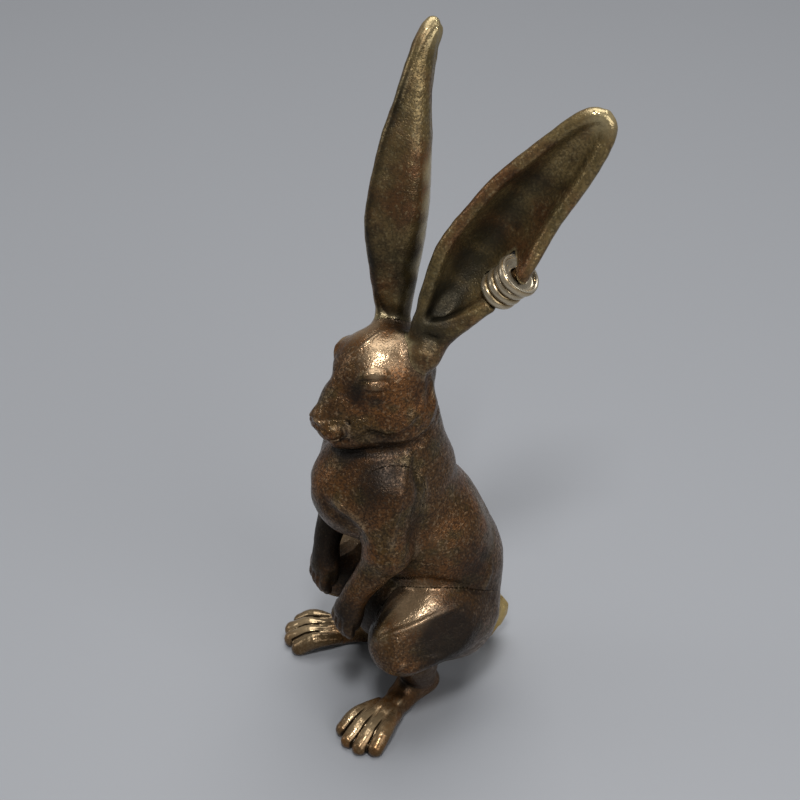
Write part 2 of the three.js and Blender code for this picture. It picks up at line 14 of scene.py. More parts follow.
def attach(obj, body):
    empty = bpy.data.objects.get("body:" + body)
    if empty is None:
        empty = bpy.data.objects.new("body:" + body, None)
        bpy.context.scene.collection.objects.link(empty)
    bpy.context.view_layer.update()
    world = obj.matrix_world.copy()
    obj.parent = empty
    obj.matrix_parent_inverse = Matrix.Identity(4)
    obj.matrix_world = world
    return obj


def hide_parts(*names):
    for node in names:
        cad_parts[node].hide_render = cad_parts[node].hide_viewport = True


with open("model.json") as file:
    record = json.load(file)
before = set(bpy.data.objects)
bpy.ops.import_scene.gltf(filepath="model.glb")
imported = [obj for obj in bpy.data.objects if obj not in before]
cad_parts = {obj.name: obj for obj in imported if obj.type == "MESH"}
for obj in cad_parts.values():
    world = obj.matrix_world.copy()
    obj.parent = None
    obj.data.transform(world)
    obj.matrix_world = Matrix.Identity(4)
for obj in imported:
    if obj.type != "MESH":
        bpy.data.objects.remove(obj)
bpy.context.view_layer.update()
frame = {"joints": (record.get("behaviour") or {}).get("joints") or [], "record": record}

MM = 0.001
SIDES = (1, -1)
NEAR = 4.0


# Forms. Points are rows of x, y, z, and a distance is negative inside a form.

def length(rows):
    return np.sqrt(np.einsum('...i,...i->...', rows, rows))


def unit(vector):
    vector = np.array(vector, float)
    return vector / np.linalg.norm(vector)


def blend(a, b, width):
    """The union of two distances, with a fillet about as wide as width."""
    share = np.clip(0.5 + 0.5 * (b - a) / width, 0, 1)
    return b + (a - b) * share - width * share * (1 - share)


def carve(a, b, width):
    """What is inside both distances, with a rounded edge."""
    return -blend(-a, -b, width)


def box_gap(points, low, high):
    return length(np.maximum(np.maximum(low - points, points - high), 0))


def near(points, form):
    """A form's distance, worked out only near its box, and the distance to the box elsewhere."""
    gap = box_gap(points, form.low, form.high)
    result = (gap + 0.5).astype(np.float32)
    inside = gap < NEAR
    if inside.any():
        result[inside] = form(points[inside])
    return result


def smooth_table(places, values, count=513):
    """A smooth curve through values that never overshoots them, as a table."""
    x = np.array(places, float)
    y = np.array(values, float)
    gap = np.diff(x)
    slope = np.diff(y) / gap
    tangent = np.concatenate([slope[:1], np.zeros(len(x) - 2), slope[-1:]])
    for i in range(1, len(x) - 1):
        if slope[i - 1] * slope[i] > 0:
            first = 2 * gap[i] + gap[i - 1]
            second = gap[i] + 2 * gap[i - 1]
            tangent[i] = (first + second) / (first / slope[i - 1] + second / slope[i])
    table = np.linspace(x[0], x[-1], count)
    span = np.clip(np.searchsorted(x, table, side='right') - 1, 0, len(x) - 2)
    t = (table - x[span]) / gap[span]
    curve = (2 * t**3 - 3 * t**2 + 1) * y[span] + (t**3 - 2 * t**2 + t) * gap[span] * tangent[span]
    curve += (3 * t**2 - 2 * t**3) * y[span + 1] + (t**3 - t**2) * gap[span] * tangent[span + 1]
    return table.astype(np.float32), curve.astype(np.float32)


def smooth_path(rows, steps):
    """More stations between the given ones, on a smooth curve through them."""
    rows = np.array(rows, float)
    padded = np.vstack([2 * rows[0] - rows[1], rows, 2 * rows[-1] - rows[-2]])
    path = []
    for i in range(1, len(padded) - 2):
        a, b, c, d = padded[i - 1:i + 3]
        for t in np.arange(steps) / steps:
            curve = (c - a) * t + (2 * a - 5 * b + 4 * c - d) * t**2 + (3 * b - 3 * c + d - a) * t**3
            path.append(b + 0.5 * curve)
    return np.array(path + [rows[-1]])


def bar_distance(points, a, b, radius_a, radius_b):
    """A bar from a to b with round ends, tapered between its two radii."""
    a = np.asarray(a, np.float32)
    along = np.asarray(b, np.float32) - a
    square = float(along @ along)
    fall = radius_a - radius_b
    lean = square - fall * fall
    from_a = points - a
    if lean < 1e-6:
        return np.minimum(length(from_a) - radius_a, length(from_a - along) - radius_b)
    run = from_a @ along
    past = run - square
    aside = from_a * square - run[:, None] * along
    aside = np.einsum('ij,ij->i', aside, aside)
    turn = np.sign(fall) * fall * fall * aside
    result = (np.sqrt(aside * lean / square) + run * fall) / square - radius_a
    before = np.sign(run) * lean * run * run * square < turn
    result = np.where(before, np.sqrt(aside + run * run * square) / square - radius_a, result)
    beyond = np.sign(past) * lean * past * past * square > turn
    return np.where(beyond, np.sqrt(aside + past * past * square) / square - radius_b, result)


def turn_matrix(degrees):
    x, y, z = np.radians(degrees)
    about_x = np.array([[1, 0, 0], [0, np.cos(x), -np.sin(x)], [0, np.sin(x), np.cos(x)]])
    about_y = np.array([[np.cos(y), 0, np.sin(y)], [0, 1, 0], [-np.sin(y), 0, np.cos(y)]])
    about_z = np.array([[np.cos(z), -np.sin(z), 0], [np.sin(z), np.cos(z), 0], [0, 0, 1]])
    return (about_z @ about_y @ about_x).astype(np.float32)


class Ball:
    """A ball with three half sizes, turned about x, then y, then z."""

    def __init__(self, centre, halves, turn=(0, 0, 0)):
        self.centre = np.array(centre, np.float32)
        self.halves = np.array(halves, np.float32)
        self.turn = turn_matrix(turn)
        spread = np.sqrt((self.turn ** 2) @ (self.halves ** 2))
        self.low = self.centre - spread
        self.high = self.centre + spread

    def __call__(self, points):
        local = (points - self.centre) @ self.turn
        first = length(local / self.halves)
        second = length(local / (self.halves * self.halves))
        return first * (first - 1) / np.maximum(second, 1e-5)


class Limb:
    """A round bar of changing radius, on a smooth path through stations (x, y, z, radius)."""

    def __init__(self, *stations, steps=4):
        self.path = smooth_path(stations, steps if len(stations) > 2 else 1)
        self.low = (self.path[:, :3] - self.path[:, 3:]).min(0).astype(np.float32)
        self.high = (self.path[:, :3] + self.path[:, 3:]).max(0).astype(np.float32)

    def __call__(self, points):
        bars = [bar_distance(points, a[:3], b[:3], a[3], b[3]) for a, b in zip(self.path, self.path[1:])]
        return np.min(bars, axis=0).astype(np.float32)


class Union:
    """Forms joined in their order, each with the width of its fillet into the ones before."""

    def __init__(self, *pairs):
        self.pairs = pairs
        self.low = np.min([form.low for form, width in pairs], axis=0)
        self.high = np.max([form.high for form, width in pairs], axis=0)

    def __call__(self, points):
        result = None
        for form, width in self.pairs:
            part = near(points, form)
            result = part if result is None else blend(result, part, width)
        return result


class Stack:
    """Oval sections over each other: (y, z, half width, half depth), rounded at both ends."""

    def __init__(self, sections, low_round, high_round):
        y, z, wide, deep = np.array(sections, float).T
        self.rounds = low_round, high_round
        self.ends = z[0], z[-1]
        self.y = smooth_table(z, y)
        self.wide = smooth_table(z, wide)
        self.deep = smooth_table(z, deep)
        self.low = np.array([-wide.max(), (y - deep).min(), z[0] - low_round], np.float32)
        self.high = np.array([wide.max(), (y + deep).max(), z[-1] + high_round], np.float32)

    def __call__(self, points):
        z = points[:, 2]
        level = np.clip(z, *self.ends)
        wide = np.interp(level, *self.wide)
        deep = np.interp(level, *self.deep)
        over = np.where(z > level, self.rounds[1], self.rounds[0])
        past = np.abs(z - level) / over
        x = points[:, 0] / wide
        y = (points[:, 1] - np.interp(level, *self.y)) / deep
        first = np.sqrt(x * x + y * y + past * past)
        second = np.sqrt((x / wide) ** 2 + (y / deep) ** 2 + (past / over) ** 2)
        return (first * (first - 1) / np.maximum(second, 1e-4) * 0.92).astype(np.float32)


class Ear:
    """A cupped blade with a rolled rim, on a round stalk.

    Its shape has rows of half width, cup depth and sideways bow at shares of its length. Swing
    is where one rim swings from behind to before the cup, over what share, and how far.
    """

    def __init__(self, root, along, faces, reach, shape, rim, thin, bulge=0, swing=(0, 1, 0), more=()):
        self.swing = swing
        self.bulge = bulge
        self.root = np.array(root, float)
        self.reach = reach
        self.along = unit(along)
        opens = np.array(faces, float)
        self.opens = unit(opens - opens @ self.along * self.along)
        self.across = np.cross(self.along, self.opens)
        self.axes = np.stack([self.across, self.opens, self.along], 1).astype(np.float32)
        share, half, cup, bow = np.array(shape, float).T
        self.half = smooth_table(share, half)
        self.cup = smooth_table(share, cup)
        self.bow = smooth_table(share, bow)
        self.rim = rim
        self.thin = thin
        stalk = [(*self.root, 2.1)]
        for at, radius in ((0.08, 1.65), (0.17, 1.0)):
            stalk.append((*(self.spot(at, 0) - 0.3 * self.opens), radius))
        lips = [Limb(*[(*self.flat_spot(*row[:3]), row[3]) for row in rows]) for rows in more]
        self.stalk = Union((Limb(*stalk), 0), *[(lip, 0.5) for lip in lips])
        self.outline_map()
        tip = self.root + self.along * reach
        self.low = (np.minimum(self.root, tip) - 5).astype(np.float32)
        self.high = (np.maximum(self.root, tip) + 5).astype(np.float32)

    def spot(self, share, u):
        """A point of the blade's middle surface: u runs from rim to rim, -1 to 1."""
        half, cup, bow = (np.interp(share, *table) for table in (self.half, self.cup, self.bow))
        place = self.root + share * self.reach * self.along + (bow + half * u) * self.across
        return place + (self.swung(share, u) - cup * (1 - u * u)) * self.opens

    def swung(self, share, u):
        middle, width, height = self.swing
        turn = (share - middle) / width
        return height * turn * np.exp(-turn * turn) * np.clip(u, 0, 1) ** 2

    def flat_spot(self, share, aside, height):
        """A point by its place in the flat plane through both rims, and its height over it."""
        return self.root + share * self.reach * self.along + aside * self.across + height * self.opens

    def outline_map(self):
        """The distance to the blade's outline, on a flat grid of 0.1 mm."""
        self.pitch = 0.1
        self.corner = np.array([-9.0, -3.0])
        counts = np.array([181, int((self.reach + 6) / self.pitch)])
        grid = np.stack(np.meshgrid(*[np.arange(n) for n in counts], indexing='ij'), -1)
        points = (self.corner + grid * self.pitch).reshape(-1, 2)
        shares = 1 - 0.95 * np.linspace(1, 0, 90) ** 1.7
        half = np.interp(shares, *self.half)
        bow = np.interp(shares, *self.bow)
        right = np.stack([bow + half, shares * self.reach], 1)
        left = np.stack([bow - half, shares * self.reach], 1)[::-1]
        ring = np.vstack([right, left, right[:1]])
        best = np.full(len(points), 1e9)
        for a, b in zip(ring, ring[1:]):
            along = b - a
            t = np.clip((points - a) @ along / max(along @ along, 1e-9), 0, 1)
            best = np.minimum(best, length(points - a - t[:, None] * along))
        held = points[:, 1] / self.reach
        inside = np.abs(points[:, 0] - np.interp(held, shares, bow)) < np.interp(held, shares, half)
        inside &= (held > shares[0]) & (held < shares[-1])
        self.map = np.where(inside, -best, best).reshape(counts).astype(np.float32)

    def outline_gap(self, flat):
        place = (flat - self.corner) / self.pitch
        top = np.array(self.map.shape) - 2
        cell = np.clip(np.floor(place), 0, top).astype(int)
        t = np.clip(place - cell, 0, 1)
        i, j = cell.T
        low = self.map[i, j] * (1 - t[:, 0]) + self.map[i + 1, j] * t[:, 0]
        high = self.map[i, j + 1] * (1 - t[:, 0]) + self.map[i + 1, j + 1] * t[:, 0]
        return low * (1 - t[:, 1]) + high * t[:, 1]

    def __call__(self, points):
        local = (points - self.root.astype(np.float32)) @ self.axes
        share = np.clip(local[:, 2] / self.reach, 0.05, 1)
        half = np.interp(share, *self.half)
        cup = np.interp(share, *self.cup)
        side = (local[:, 0] - np.interp(share, *self.bow)) / np.maximum(half, 0.05)
        u = np.clip(side, -1, 1)
        slope = 2 * cup * np.abs(u) / np.maximum(half, 0.3)
        steep = np.sqrt(1 + slope * slope)
        height = local[:, 1] - self.swung(share, u)
        outside = self.outline_gap(local[:, [0, 2]])
        lift = (height + cup * (1 - np.clip(side, -1.4, 1.4) ** 2)) / steep
        past = np.maximum((outside + height * slope) / steep, 0)
        thick = self.thin + self.bulge * (1 - u * u) + 0.25 * (1 - np.clip((share - 0.15) / 0.2, 0, 1))
        blade = np.sqrt(past ** 2 + lift ** 2) - thick
        grown = self.rim * np.clip((share - 0.02) / 0.25, 0.4, 1)
        rim = np.sqrt(outside ** 2 + height ** 2) - grown
        whole = blend(blade, rim, 1.4)
        return blend(whole, self.stalk(points), 1.2).astype(np.float32)


class Stroke:
    """A line drawn on the skin, raised by height, or sunk where that is negative.

    Its width fades like a bell. Points are (x, y, z) or (x, y, z, share of the height).
    """

    def __init__(self, points, width, height):
        self.rows = np.array([(*p, 1.0)[:4] for p in points], np.float32)
        self.width = width
        self.height = height
        self.low = self.rows[:, :3].min(0) - 2.6 * width
        self.high = self.rows[:, :3].max(0) + 2.6 * width

    def __call__(self, points):
        best = np.full(len(points), 1e9, np.float32)
        share = np.zeros(len(points), np.float32)
        for first, second in zip(self.rows, self.rows[1:]):
            along = second[:3] - first[:3]
            t = np.clip((points - first[:3]) @ along / (along @ along), 0, 1)
            gap = length(points - first[:3] - t[:, None] * along)
            closer = gap < best
            best = np.where(closer, gap, best)
            share = np.where(closer, first[3] + (second[3] - first[3]) * t, share)
        return self.height * share * np.exp(-(best / self.width) ** 2)


strokes = []


def draw(points, width, height):
    strokes.append(Stroke(points, width, height))


def draw_both(points, width, height):
    """The same line on both sides of the rabbit."""
    for side in SIDES:
        draw([(side * x, *rest) for x, *rest in points], width, height)


def moved(points, dx=0, dy=0, dz=0):
    return [(x + dx, y + dy, z + dz, *rest) for x, y, z, *rest in points]


# The torso, the head and the tail.

torso = Union(
    (Stack([
        (4.0, 8.2, 7.6, 6.8),
        (3.7, 14.6, 9.9, 8.4),
        (3.2, 21.0, 10.2, 9.4),
        (0.9, 27.0, 9.3, 9.7),
        (-2.0, 32.6, 8.5, 10.0),
        (-4.9, 38.0, 7.9, 10.0),
        (-4.7, 42.6, 6.8, 8.4),
        (-3.6, 46.8, 5.6, 6.3),
    ], 3.0, 3.0), 0),
    (Ball((0, -8.9, 36.6), (6.3, 6.6, 6.6)), 2.0),
    *[(Ball((side * 5.4, 1.4, 27.0), (4.2, 6.0, 7.0), (-14, 0, 0)), 2.0) for side in SIDES],
    (Ball((0, -4.5, 15.0), (6.0, 5.6, 6.5)), 1.5),
)

skull = np.array((0, -4.8, 54.2))
head = Union(
    (Ball(skull, (6.1, 6.7, 6.6)), 0),
    (Limb((0, -7.2, 55.2, 4.4), (0, -13.0, 49.5, 2.5)), 1.6),
    *[(Ball((side * 3.5, -4.6, 50.2), (3.4, 5.2, 4.3), (0, 0, side * -6)), 1.2) for side in SIDES],
    *[(Ball((side * 2.8, -7.5, 56.3), (1.75, 2.6, 1.8), (-20, 0, side * 12)), 1.2) for side in SIDES],
    *[(Limb((side * 3.4, -4, 47.5, 2.7), (side * 2.2, -8.8, 47, 2.1), (side * 0.7, -12.1, 46.6, 1.5)), 0.7)
      for side in SIDES],
    *[(Ball((side * 2.7, -9.6, 49.3), (1.9, 2.6, 2.2)), 1.2) for side in SIDES],
    *[(Ball((side * 1.45, -13.4, 49.0), (1.6, 1.8, 1.5), (0, 0, side * 20)), 0.4) for side in SIDES],
    (Ball((0, -14.4, 50.6), (1.25, 1.2, 1.15), (20, 0, 0)), 0.6),
)

tail = Limb((0, 9.4, 8.2, 2.8), (0, 13.3, 5.8, 1.9), (0, 11.7, 2.1, 1.6))

# Where the hind feet stand.

class Sole:
    """Where a hind foot stands: its heel, the ball of the foot, and rays out to its toes."""

    def __init__(self, side):
        self.splay = 24 if side > 0 else 30
        self.side = side
        self.forward = self.way(0)
        self.heel = np.array((4.6, -1.1, 1.5) if side > 0 else (-6.4, -1.1, 1.5))
        self.ball = self.heel + self.forward * (10.4 if side > 0 else 9.6)

    def way(self, place):
        turn = np.radians(self.splay + place * 5)
        return np.array((self.side * np.sin(turn), -np.cos(turn), 0))

    def on_toe(self, place, reach, height):
        turn = np.radians(self.splay)
        sideways = np.array((self.side * np.cos(turn), np.sin(turn), 0))
        flat = self.ball + sideways * (place * 1.58 - 0.2) + self.way(place) * reach
        return flat[0], flat[1], height


soles = {side: Sole(side) for side in SIDES}

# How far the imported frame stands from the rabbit's own millimetres.

left_sole = next(mount for mount in frame["record"]["mounts"] if mount["name"] == "left_sole")
shift = np.array(left_sole["pos_m"]) / MM - (soles[1].heel + soles[1].ball) / 2
shift[2] = 0


# The ears. The leaning one opens to the left and forward, the upright one to the right.

upright_shape = [
    (0.05, 1.5, 0.7, 0.4),
    (0.2, 3.0, 2.2, 1.0),
    (0.4, 4.2, 3.2, 1.8),
    (0.6, 3.4, 2.6, 1.9),
    (0.8, 1.6, 1.0, 1.5),
    (0.92, 0.95, 0.3, 0.9),
    (0.98, 0.6, 0.1, 0.2),
    (1, 0.0, 0, 0),
]
leaning_shape = [
    (0.05, 1.5, 0.7, -0.9),
    (0.2, 3.2, 3.0, -1.5),
    (0.38, 5.0, 4.4, -1.3),
    (0.6, 4.4, 3.6, -1.35),
    (0.8, 3.35, 2.2, -0.55),
    (0.92, 2.4, 0.9, -0.1),
    (0.97, 1.6, 0.35, 0.05),
    (0.99, 0.95, 0.1, 0.1),
    (1, 0.0, 0, 0.15),
]
ear_spot = np.array((4.5, 3.3, 4.3))
ear_right = Ear(
    skull + ear_spot * (-1, 1, 1), (-4.1, 7.9, 38.4848), (-0.95, -0.2, 0.1), 39.5, upright_shape,
    rim=0.7, thin=0.62, bulge=0.35,
)
cuff_share = 0.365
near_lip = [
    (0.085, -2.3, 0, 0.9),
    (0.1, -1.2, 0.1, 1.2),
    (0.125, 0.1, 0.1, 1.3),
    (0.16, 1.0, 0.1, 1.1),
    (0.21, 1.9, 0.1, 0.95),
    (0.265, 2.85, 0, 0.8),
]
ear_left = Ear(
    skull + ear_spot, (7.4, 19.9, 32.1157), (0.81, -0.54, 0.22), 38.5, leaning_shape,
    rim=0.6, thin=0.54, swing=(cuff_share, 0.12, 3.2), more=[near_lip],
)

# The cuff on the near rim of the leaning ear, and the room that it turns in.

cuff_length = 5.2
cuff_rib = 2.7
cuff_mouth = 3.0
bar_radius = 0.88
play = 0.12
cuff_turn = next(joint for joint in frame["joints"] if joint["name"] == "cuff_turn")
cuff_middle = np.array(cuff_turn["pos_m"]) / MM - shift
cuff_axis = unit(cuff_turn["axis"])


class Turned:
    """A round body on the cuff's axis: radii at places along it from the cuff's middle."""

    def __init__(self, places, radii):
        self.places = places
        self.radii = radii
        reach = max(radii) + max(abs(place) for place in places)
        self.low = (cuff_middle - reach).astype(np.float32)
        self.high = (cuff_middle + reach).astype(np.float32)

    def __call__(self, points):
        local = points - cuff_middle.astype(np.float32)
        along = local @ cuff_axis.astype(np.float32)
        radius = length(local - along[:, None] * cuff_axis.astype(np.float32))
        wall = radius - np.interp(along, self.places, self.radii)
        ends = np.maximum(self.places[0] - along, along - self.places[-1])
        return carve(wall, ends, 0.3).astype(np.float32)


cuff_end = cuff_length / 2 + play
cuff_room = Turned(
    (-cuff_end, 0.9, 1.5, cuff_end),
    (cuff_rib + play, cuff_rib + play, cuff_mouth + play, cuff_mouth + play),
)
bar_end = cuff_end + bar_radius
rim_bar = Turned(
    (-bar_end, -cuff_end, cuff_end, bar_end),
    (bar_radius + 0.2, bar_radius, bar_radius, bar_radius + 0.25),
)


class LeaningEar:
    """The leaning ear with a window for the cuff, and its rim running through as a bar."""
    low = ear_left.low
    high = ear_left.high

    def __call__(self, points):
        blade = carve(ear_left(points), -near(points, cuff_room), 0.25)
        return blend(blade, near(points, rim_bar), 0.3)


# The legs.

paws = {1: np.array((4.5, -13.1, 19.0)), -1: np.array((-4.5, -12.2, 19.9))}


def foreleg(side):
    paw = paws[side]
    elbow = (side * 6.7, -8.2, 30.6)
    fingers = []
    for place in (-1.5, -0.5, 0.5, 1.5):
        arch = 0.1 * (2.25 - place * place)
        top = paw + (place * 1.0, -0.5, 1.2)
        middle = paw + (place * 1.15, -1.0 - arch, -0.9)
        tip = paw + (place * 1.0, -0.6 - arch, -2.5 + 0.12 * place * place)
        fingers.append((Limb((*top, 0.7), (*middle, 0.82), (*tip, 0.68)), 0.3))
    return Union(
        (Limb((side * 4.8, -7.0, 39.2, 4.7), (*elbow, 3.2)), 0),
        (Limb(
            (side * 6.9, -8.2, 30.4, 3.0),
            (side * 6.2, -10.0, 18.5 + 0.45 * paw[2], 2.3),
            (side * 5.3, (paw[1] - 10.9) / 2, paw[2] + 4.6, 1.9),
            (*(paw + (side * 0.2, 0.1, 1.4)), 2.0),
        ), 1.4),
        (Ball(paw, (2.3, 1.75, 2.7)), 1.0),
        *fingers,
    )


def draw_paw(side):
    """The lines between the fingers."""
    for place in (-1, 0, 1):
        top = paws[side] + (place * 1.05, -1.6, 1.2)
        middle = paws[side] + (place * 1.15, -2.1, -0.9)
        tip = paws[side] + (place * 1.0, -1.7, -2.9)
        draw([(*top, .2), middle, (*tip, .6)], .24, -.32)


class Faceted:
    """A form with a flat side, cut square to a direction at a point."""

    def __init__(self, form, point, out, edge):
        self.form = form
        self.low = form.low
        self.high = form.high
        self.point = np.array(point, np.float32)
        self.out = unit(out).astype(np.float32)
        self.edge = edge

    def __call__(self, points):
        return carve(self.form(points), (points - self.point) @ self.out, self.edge)


def haunch(side):
    leg = Union(
        (Ball((side * 5.6, 2.4, 14.8), (6.6, 7.2, 8.2)), 0),
        (Limb((side * 7.9, -1.6, 16.6, 6.4), (side * 9.3, -7.2, 15.4, 4.9)), 2.5),
    )
    return Faceted(leg, (side * 12.5, -2.0, 20.3), (side * 0.955, -0.1, 0.28), 0.3)


def hind_foot(side):
    sole = soles[side]
    heel, ball, forward = sole.heel, sole.ball, sole.forward
    toes = []
    broad = 1.12 if side > 0 else 1.25
    for place, reach in ((-1.5, 4.5), (-0.5, 5.7), (0.5, 5.8), (1.5, 4.7)):
        reach = reach if side > 0 else reach - 0.7
        back = (*sole.on_toe(place * 0.75, -1.9, 1.9), 0.9)
        knuckle = (*sole.on_toe(place, reach * 0.45, 2.15), broad)
        tip = (*sole.on_toe(place, reach, 1.0), broad)
        toes.append((Limb(back, knuckle, tip), 0.2))
    instep = heel + forward * 4 + (side * 0.2, 0, 0.25)
    return Union(
        (Limb((*heel, 1.8), (*instep, 1.75), (*(ball - forward * 1.2), 1.75)), 0),
        (Ball(ball - forward * 0.8, (2.5, 2.8, 1.7), (0, 0, side * sole.splay)), 1.0),
        (Limb((*heel, 1.8), (side * 6.9, -3.1, 5.6, 2.2), (side * 7.8, -3.4, 10.5, 2.8)), 1.6),
        (Limb(
            (side * 7.8, -4.8, 9.4, 2.4),
            (*(heel + forward * 2.6 + (0, 0, 2.7)), 2.1),
            (*(heel + forward * 6.2 + (0, 0, 0.7)), 1.6),
        ), 1.0),
        *toes,
    )


def draw_foot(side):
    """Deep lines between the toes, and tendons from the toes up to the ankle."""
    at = soles[side].on_toe
    for place in (-1, 0, 1):
        draw([
            (*at(place, -1.4, 3.3), .2), at(place, 0.4, 3.1), at(place, 3.0, 2.7), at(place, 4.8, 1.6),
        ], .22, -.4)
    for place in (-1.5, -0.5, 0.5, 1.5):
        draw([
            (*at(place * 0.5, -5.6, 3.3), 0),
            (*at(place * 0.7, -4.0, 3.4), .8),
            at(place * 0.85, -2.4, 3.4),
            (*at(place, -0.4, 3.1), .5),
        ], .4, .22)


# Lines of the head: the crest on the crown, the closed eye in its socket, cheek, nose and lips.

draw([(0, -5, 61, .3), (.5, -6.2, 60.9), (.9, -7.6, 60.6), (1, -9, 60.1), (1.1, -10.2, 59.3, 0)], .32, .26)
draw_both([
    (3.2, -10.7, 56.9, .3), (3.9, -9.9, 57.5), (4.5, -8.7, 57.9), (5, -7.5, 57.6), (5.4, -6.9, 56.9, .2),
], .45, .42)
slit = [
    (2.4, -11.8, 55.7, .2), (3.4, -10.8, 56.3, .7), (4.3, -9.8, 56.8), (5, -8.6, 57), (5.5, -7.4, 56.7, .4),
]
draw_both(slit, .22, -.36)
draw_both([(4.1, -10.2, 55.9, .2), (4.7, -9.4, 56), (5.2, -8.5, 56), (5.5, -7.6, 55.9, .2)], .5, .34)
draw_both([(3.9, -10.6, 55.2, .3), (4.7, -9.5, 55), (5.3, -8.4, 55.1), (5.6, -7.3, 55.5, .2)], .24, -.3)
draw_both([(2.1, -12.2, 54.7, .5), (3.1, -11.5, 54.7), (4, -10.6, 54.7, .4)], 1.0, -.5)
draw_both([(2, -12.3, 55.3), (2.8, -12, 54.4), (3.6, -11.4, 53.3), (3.9, -10.8, 52, .4)], .9, -.3)
draw_both([(4.2, -10.2, 53.9, .5), (5, -9, 53.9), (5.8, -7.4, 54.4, .5)], .6, .15)
draw_both([
    (2.8, -10.6, 48.9, .2), (3.4, -10.3, 49.8, .8), (4.3, -9.7, 50.2), (5.5, -8.6, 49.8), (5.9, -7.9, 49.3),
    (6.5, -6.7, 49.5), (6.9, -5.1, 50.4), (6.7, -4.1, 51.6, .3),
], .5, .3)
draw_both([
    (3.2, -10.8, 48.4, .4), (4.4, -9.6, 48.9), (5.5, -8.2, 48.5), (6.2, -6.8, 48.3), (6.8, -5, 49.1),
    (6.9, -3.6, 50.4, .4),
], .7, -.26)
draw_both([
    (4.7, -.3, 53.9, .3), (6.1, -1, 50.7), (6.4, -1.9, 48.6), (6.5, -3.5, 47.8), (6.1, -5.9, 47.4),
    (5.3, -7.6, 47.3), (3.6, -10.3, 47.2, .3),
], .45, .2)
throat = [
    (1.3, -11.4, 44.4, .4), (3.7, -9.8, 45.3), (5.1, -7.6, 45.5), (5.9, -5.1, 45.6), (5.9, -2.9, 46.2),
    (5.6, -1.1, 47.5), (6, -.8, 50, .3),
]
draw_both(throat, .7, -.5)
draw_both([
    (1.9, -14.3, 50.9, .3), (2.4, -13.6, 51), (3, -12.4, 50.9), (3.1, -11.6, 50.1), (3, -11.4, 49),
    (2.7, -11.8, 48, .4),
], .26, -.26)
draw_both([(5.3, -8.7, 52.5), (5.32, -8.65, 52.5)], .28, -.35)
draw_both([(5.1, -9.1, 52.5), (5.4, -8.5, 52.9), (5.6, -8.3, 52.4)], .22, .12)
draw_both([(.3, -15.7, 50), (1, -15.5, 49.5), (1.7, -15.1, 49.5, .6)], .28, -.5)
draw_both([(.6, -15.7, 50.5), (1.4, -15.2, 50.3), (1.9, -14.7, 50.5, .4)], .3, .16)
draw([(0, -15.8, 50.2), (0, -15.5, 49.2), (0, -14.9, 48.2)], .24, -.35)
draw_both([(1.9, -14.9, 50), (2.2, -14.9, 49.4), (2.3, -15, 48.9, .3)], .28, -.2)
lip = [
    (.9, -15.2, 48.4, .6), (1.8, -14.8, 48.1), (2.5, -13.9, 47.8), (2.8, -12.8, 47.7), (2.9, -11.9, 48, .4),
]
draw_both(lip, .22, .26)
draw_both(moved(lip, dx=-.1, dz=-.5), .26, -.45)
draw_both([(1.3, -14.9, 50.9, .4), (2, -14, 51.4), (2.9, -12.8, 51.6), (3.4, -11.7, 51, .5)], .5, -.22)
draw_both([(6.1, -2.5, 57.4, .3), (5.8, -2, 54.8), (6.3, -2.5, 52.8), (6.8, -3.4, 51.1, .2)], .5, .14)
draw_both([(5.2, -.9, 56.4, .3), (5, -.4, 54.2), (5.6, -.4, 51.8), (6.3, -1.2, 50.1, .4)], .4, .12)
draw_both([(5.6, -1.6, 56.4, .5), (5.5, -1.2, 54.2), (6, -1.6, 52, .4)], .5, -.16)

# Lines of the body: both edges of the upper arm, the neck groove, the elbow and the haunch.

draw_both([
    (6, -4.3, 45.5, .4), (6.6, -4.9, 43.8), (8, -6.3, 42.4), (9.1, -7.5, 40.9), (9.5, -8.3, 38.8),
    (9.6, -8.8, 36.5), (9.8, -9.2, 34.3), (10, -9.4, 32.4, .4),
], .6, .42)
draw_both([
    (6.2, -3.3, 45.2, .4), (7.2, -4.1, 42.5), (8.2, -5, 39.5), (8.8, -5.6, 36.5), (9, -6, 33.5, .8),
    (9.2, -6.2, 31, .3),
], .95, -.42)
draw_both([
    (5.8, -1.9, 46.2, .4), (6.5, -2.4, 44.1), (7.2, -2.7, 42.1), (7.9, -2.7, 39.2), (8.2, -2.6, 36.7),
    (8.5, -2.7, 34.1, .3),
], .24, .1)
draw_both([(8.7, -4.2, 34.1), (8.8, -4.4, 33.5)], 1.3, -.55)
arm_front = [
    (3.2, -14.9, 40.2, 0), (3.8, -14.8, 39.1, .8), (4.5, -14.4, 38.3), (5.5, -13.4, 37.5),
    (6.2, -12.6, 36.4), (6.8, -12.2, 35), (7.5, -11.8, 33.8, .6),
]
draw(arm_front, .75, .34)
draw([(-5, -13.9, 37.9, 0), *[(-x, *rest) for x, *rest in arm_front[4:]]], .6, .4)
draw_both([
    (2.2, -15, 38, .4), (3.6, -14.6, 36.9), (4.9, -13.4, 35.9), (5.7, -12.6, 34.4), (6.2, -12.2, 32.6, .5),
], .9, -.5)
draw_both([(8.2, -11.3, 31.6, .3), (9.3, -10.5, 31.2), (9.8, -9.4, 31.9, .3)], .3, -.16)
draw_both([(7.4, -11.5, 32.2, .2), (8.9, -10.5, 32.7), (9.6, -9.2, 33.2, .2)], .3, -.12)
draw_both([
    (3.6, -5.8, 21.4, .5), (5.3, -5.2, 22.6), (7.6, -4.4, 24.1), (9.1, -2.9, 24.5), (10, -.9, 23.9),
    (10.4, 1.5, 22.7), (10.6, 3.7, 21.2), (10.7, 5.4, 19.8, .3),
], .5, -.4)
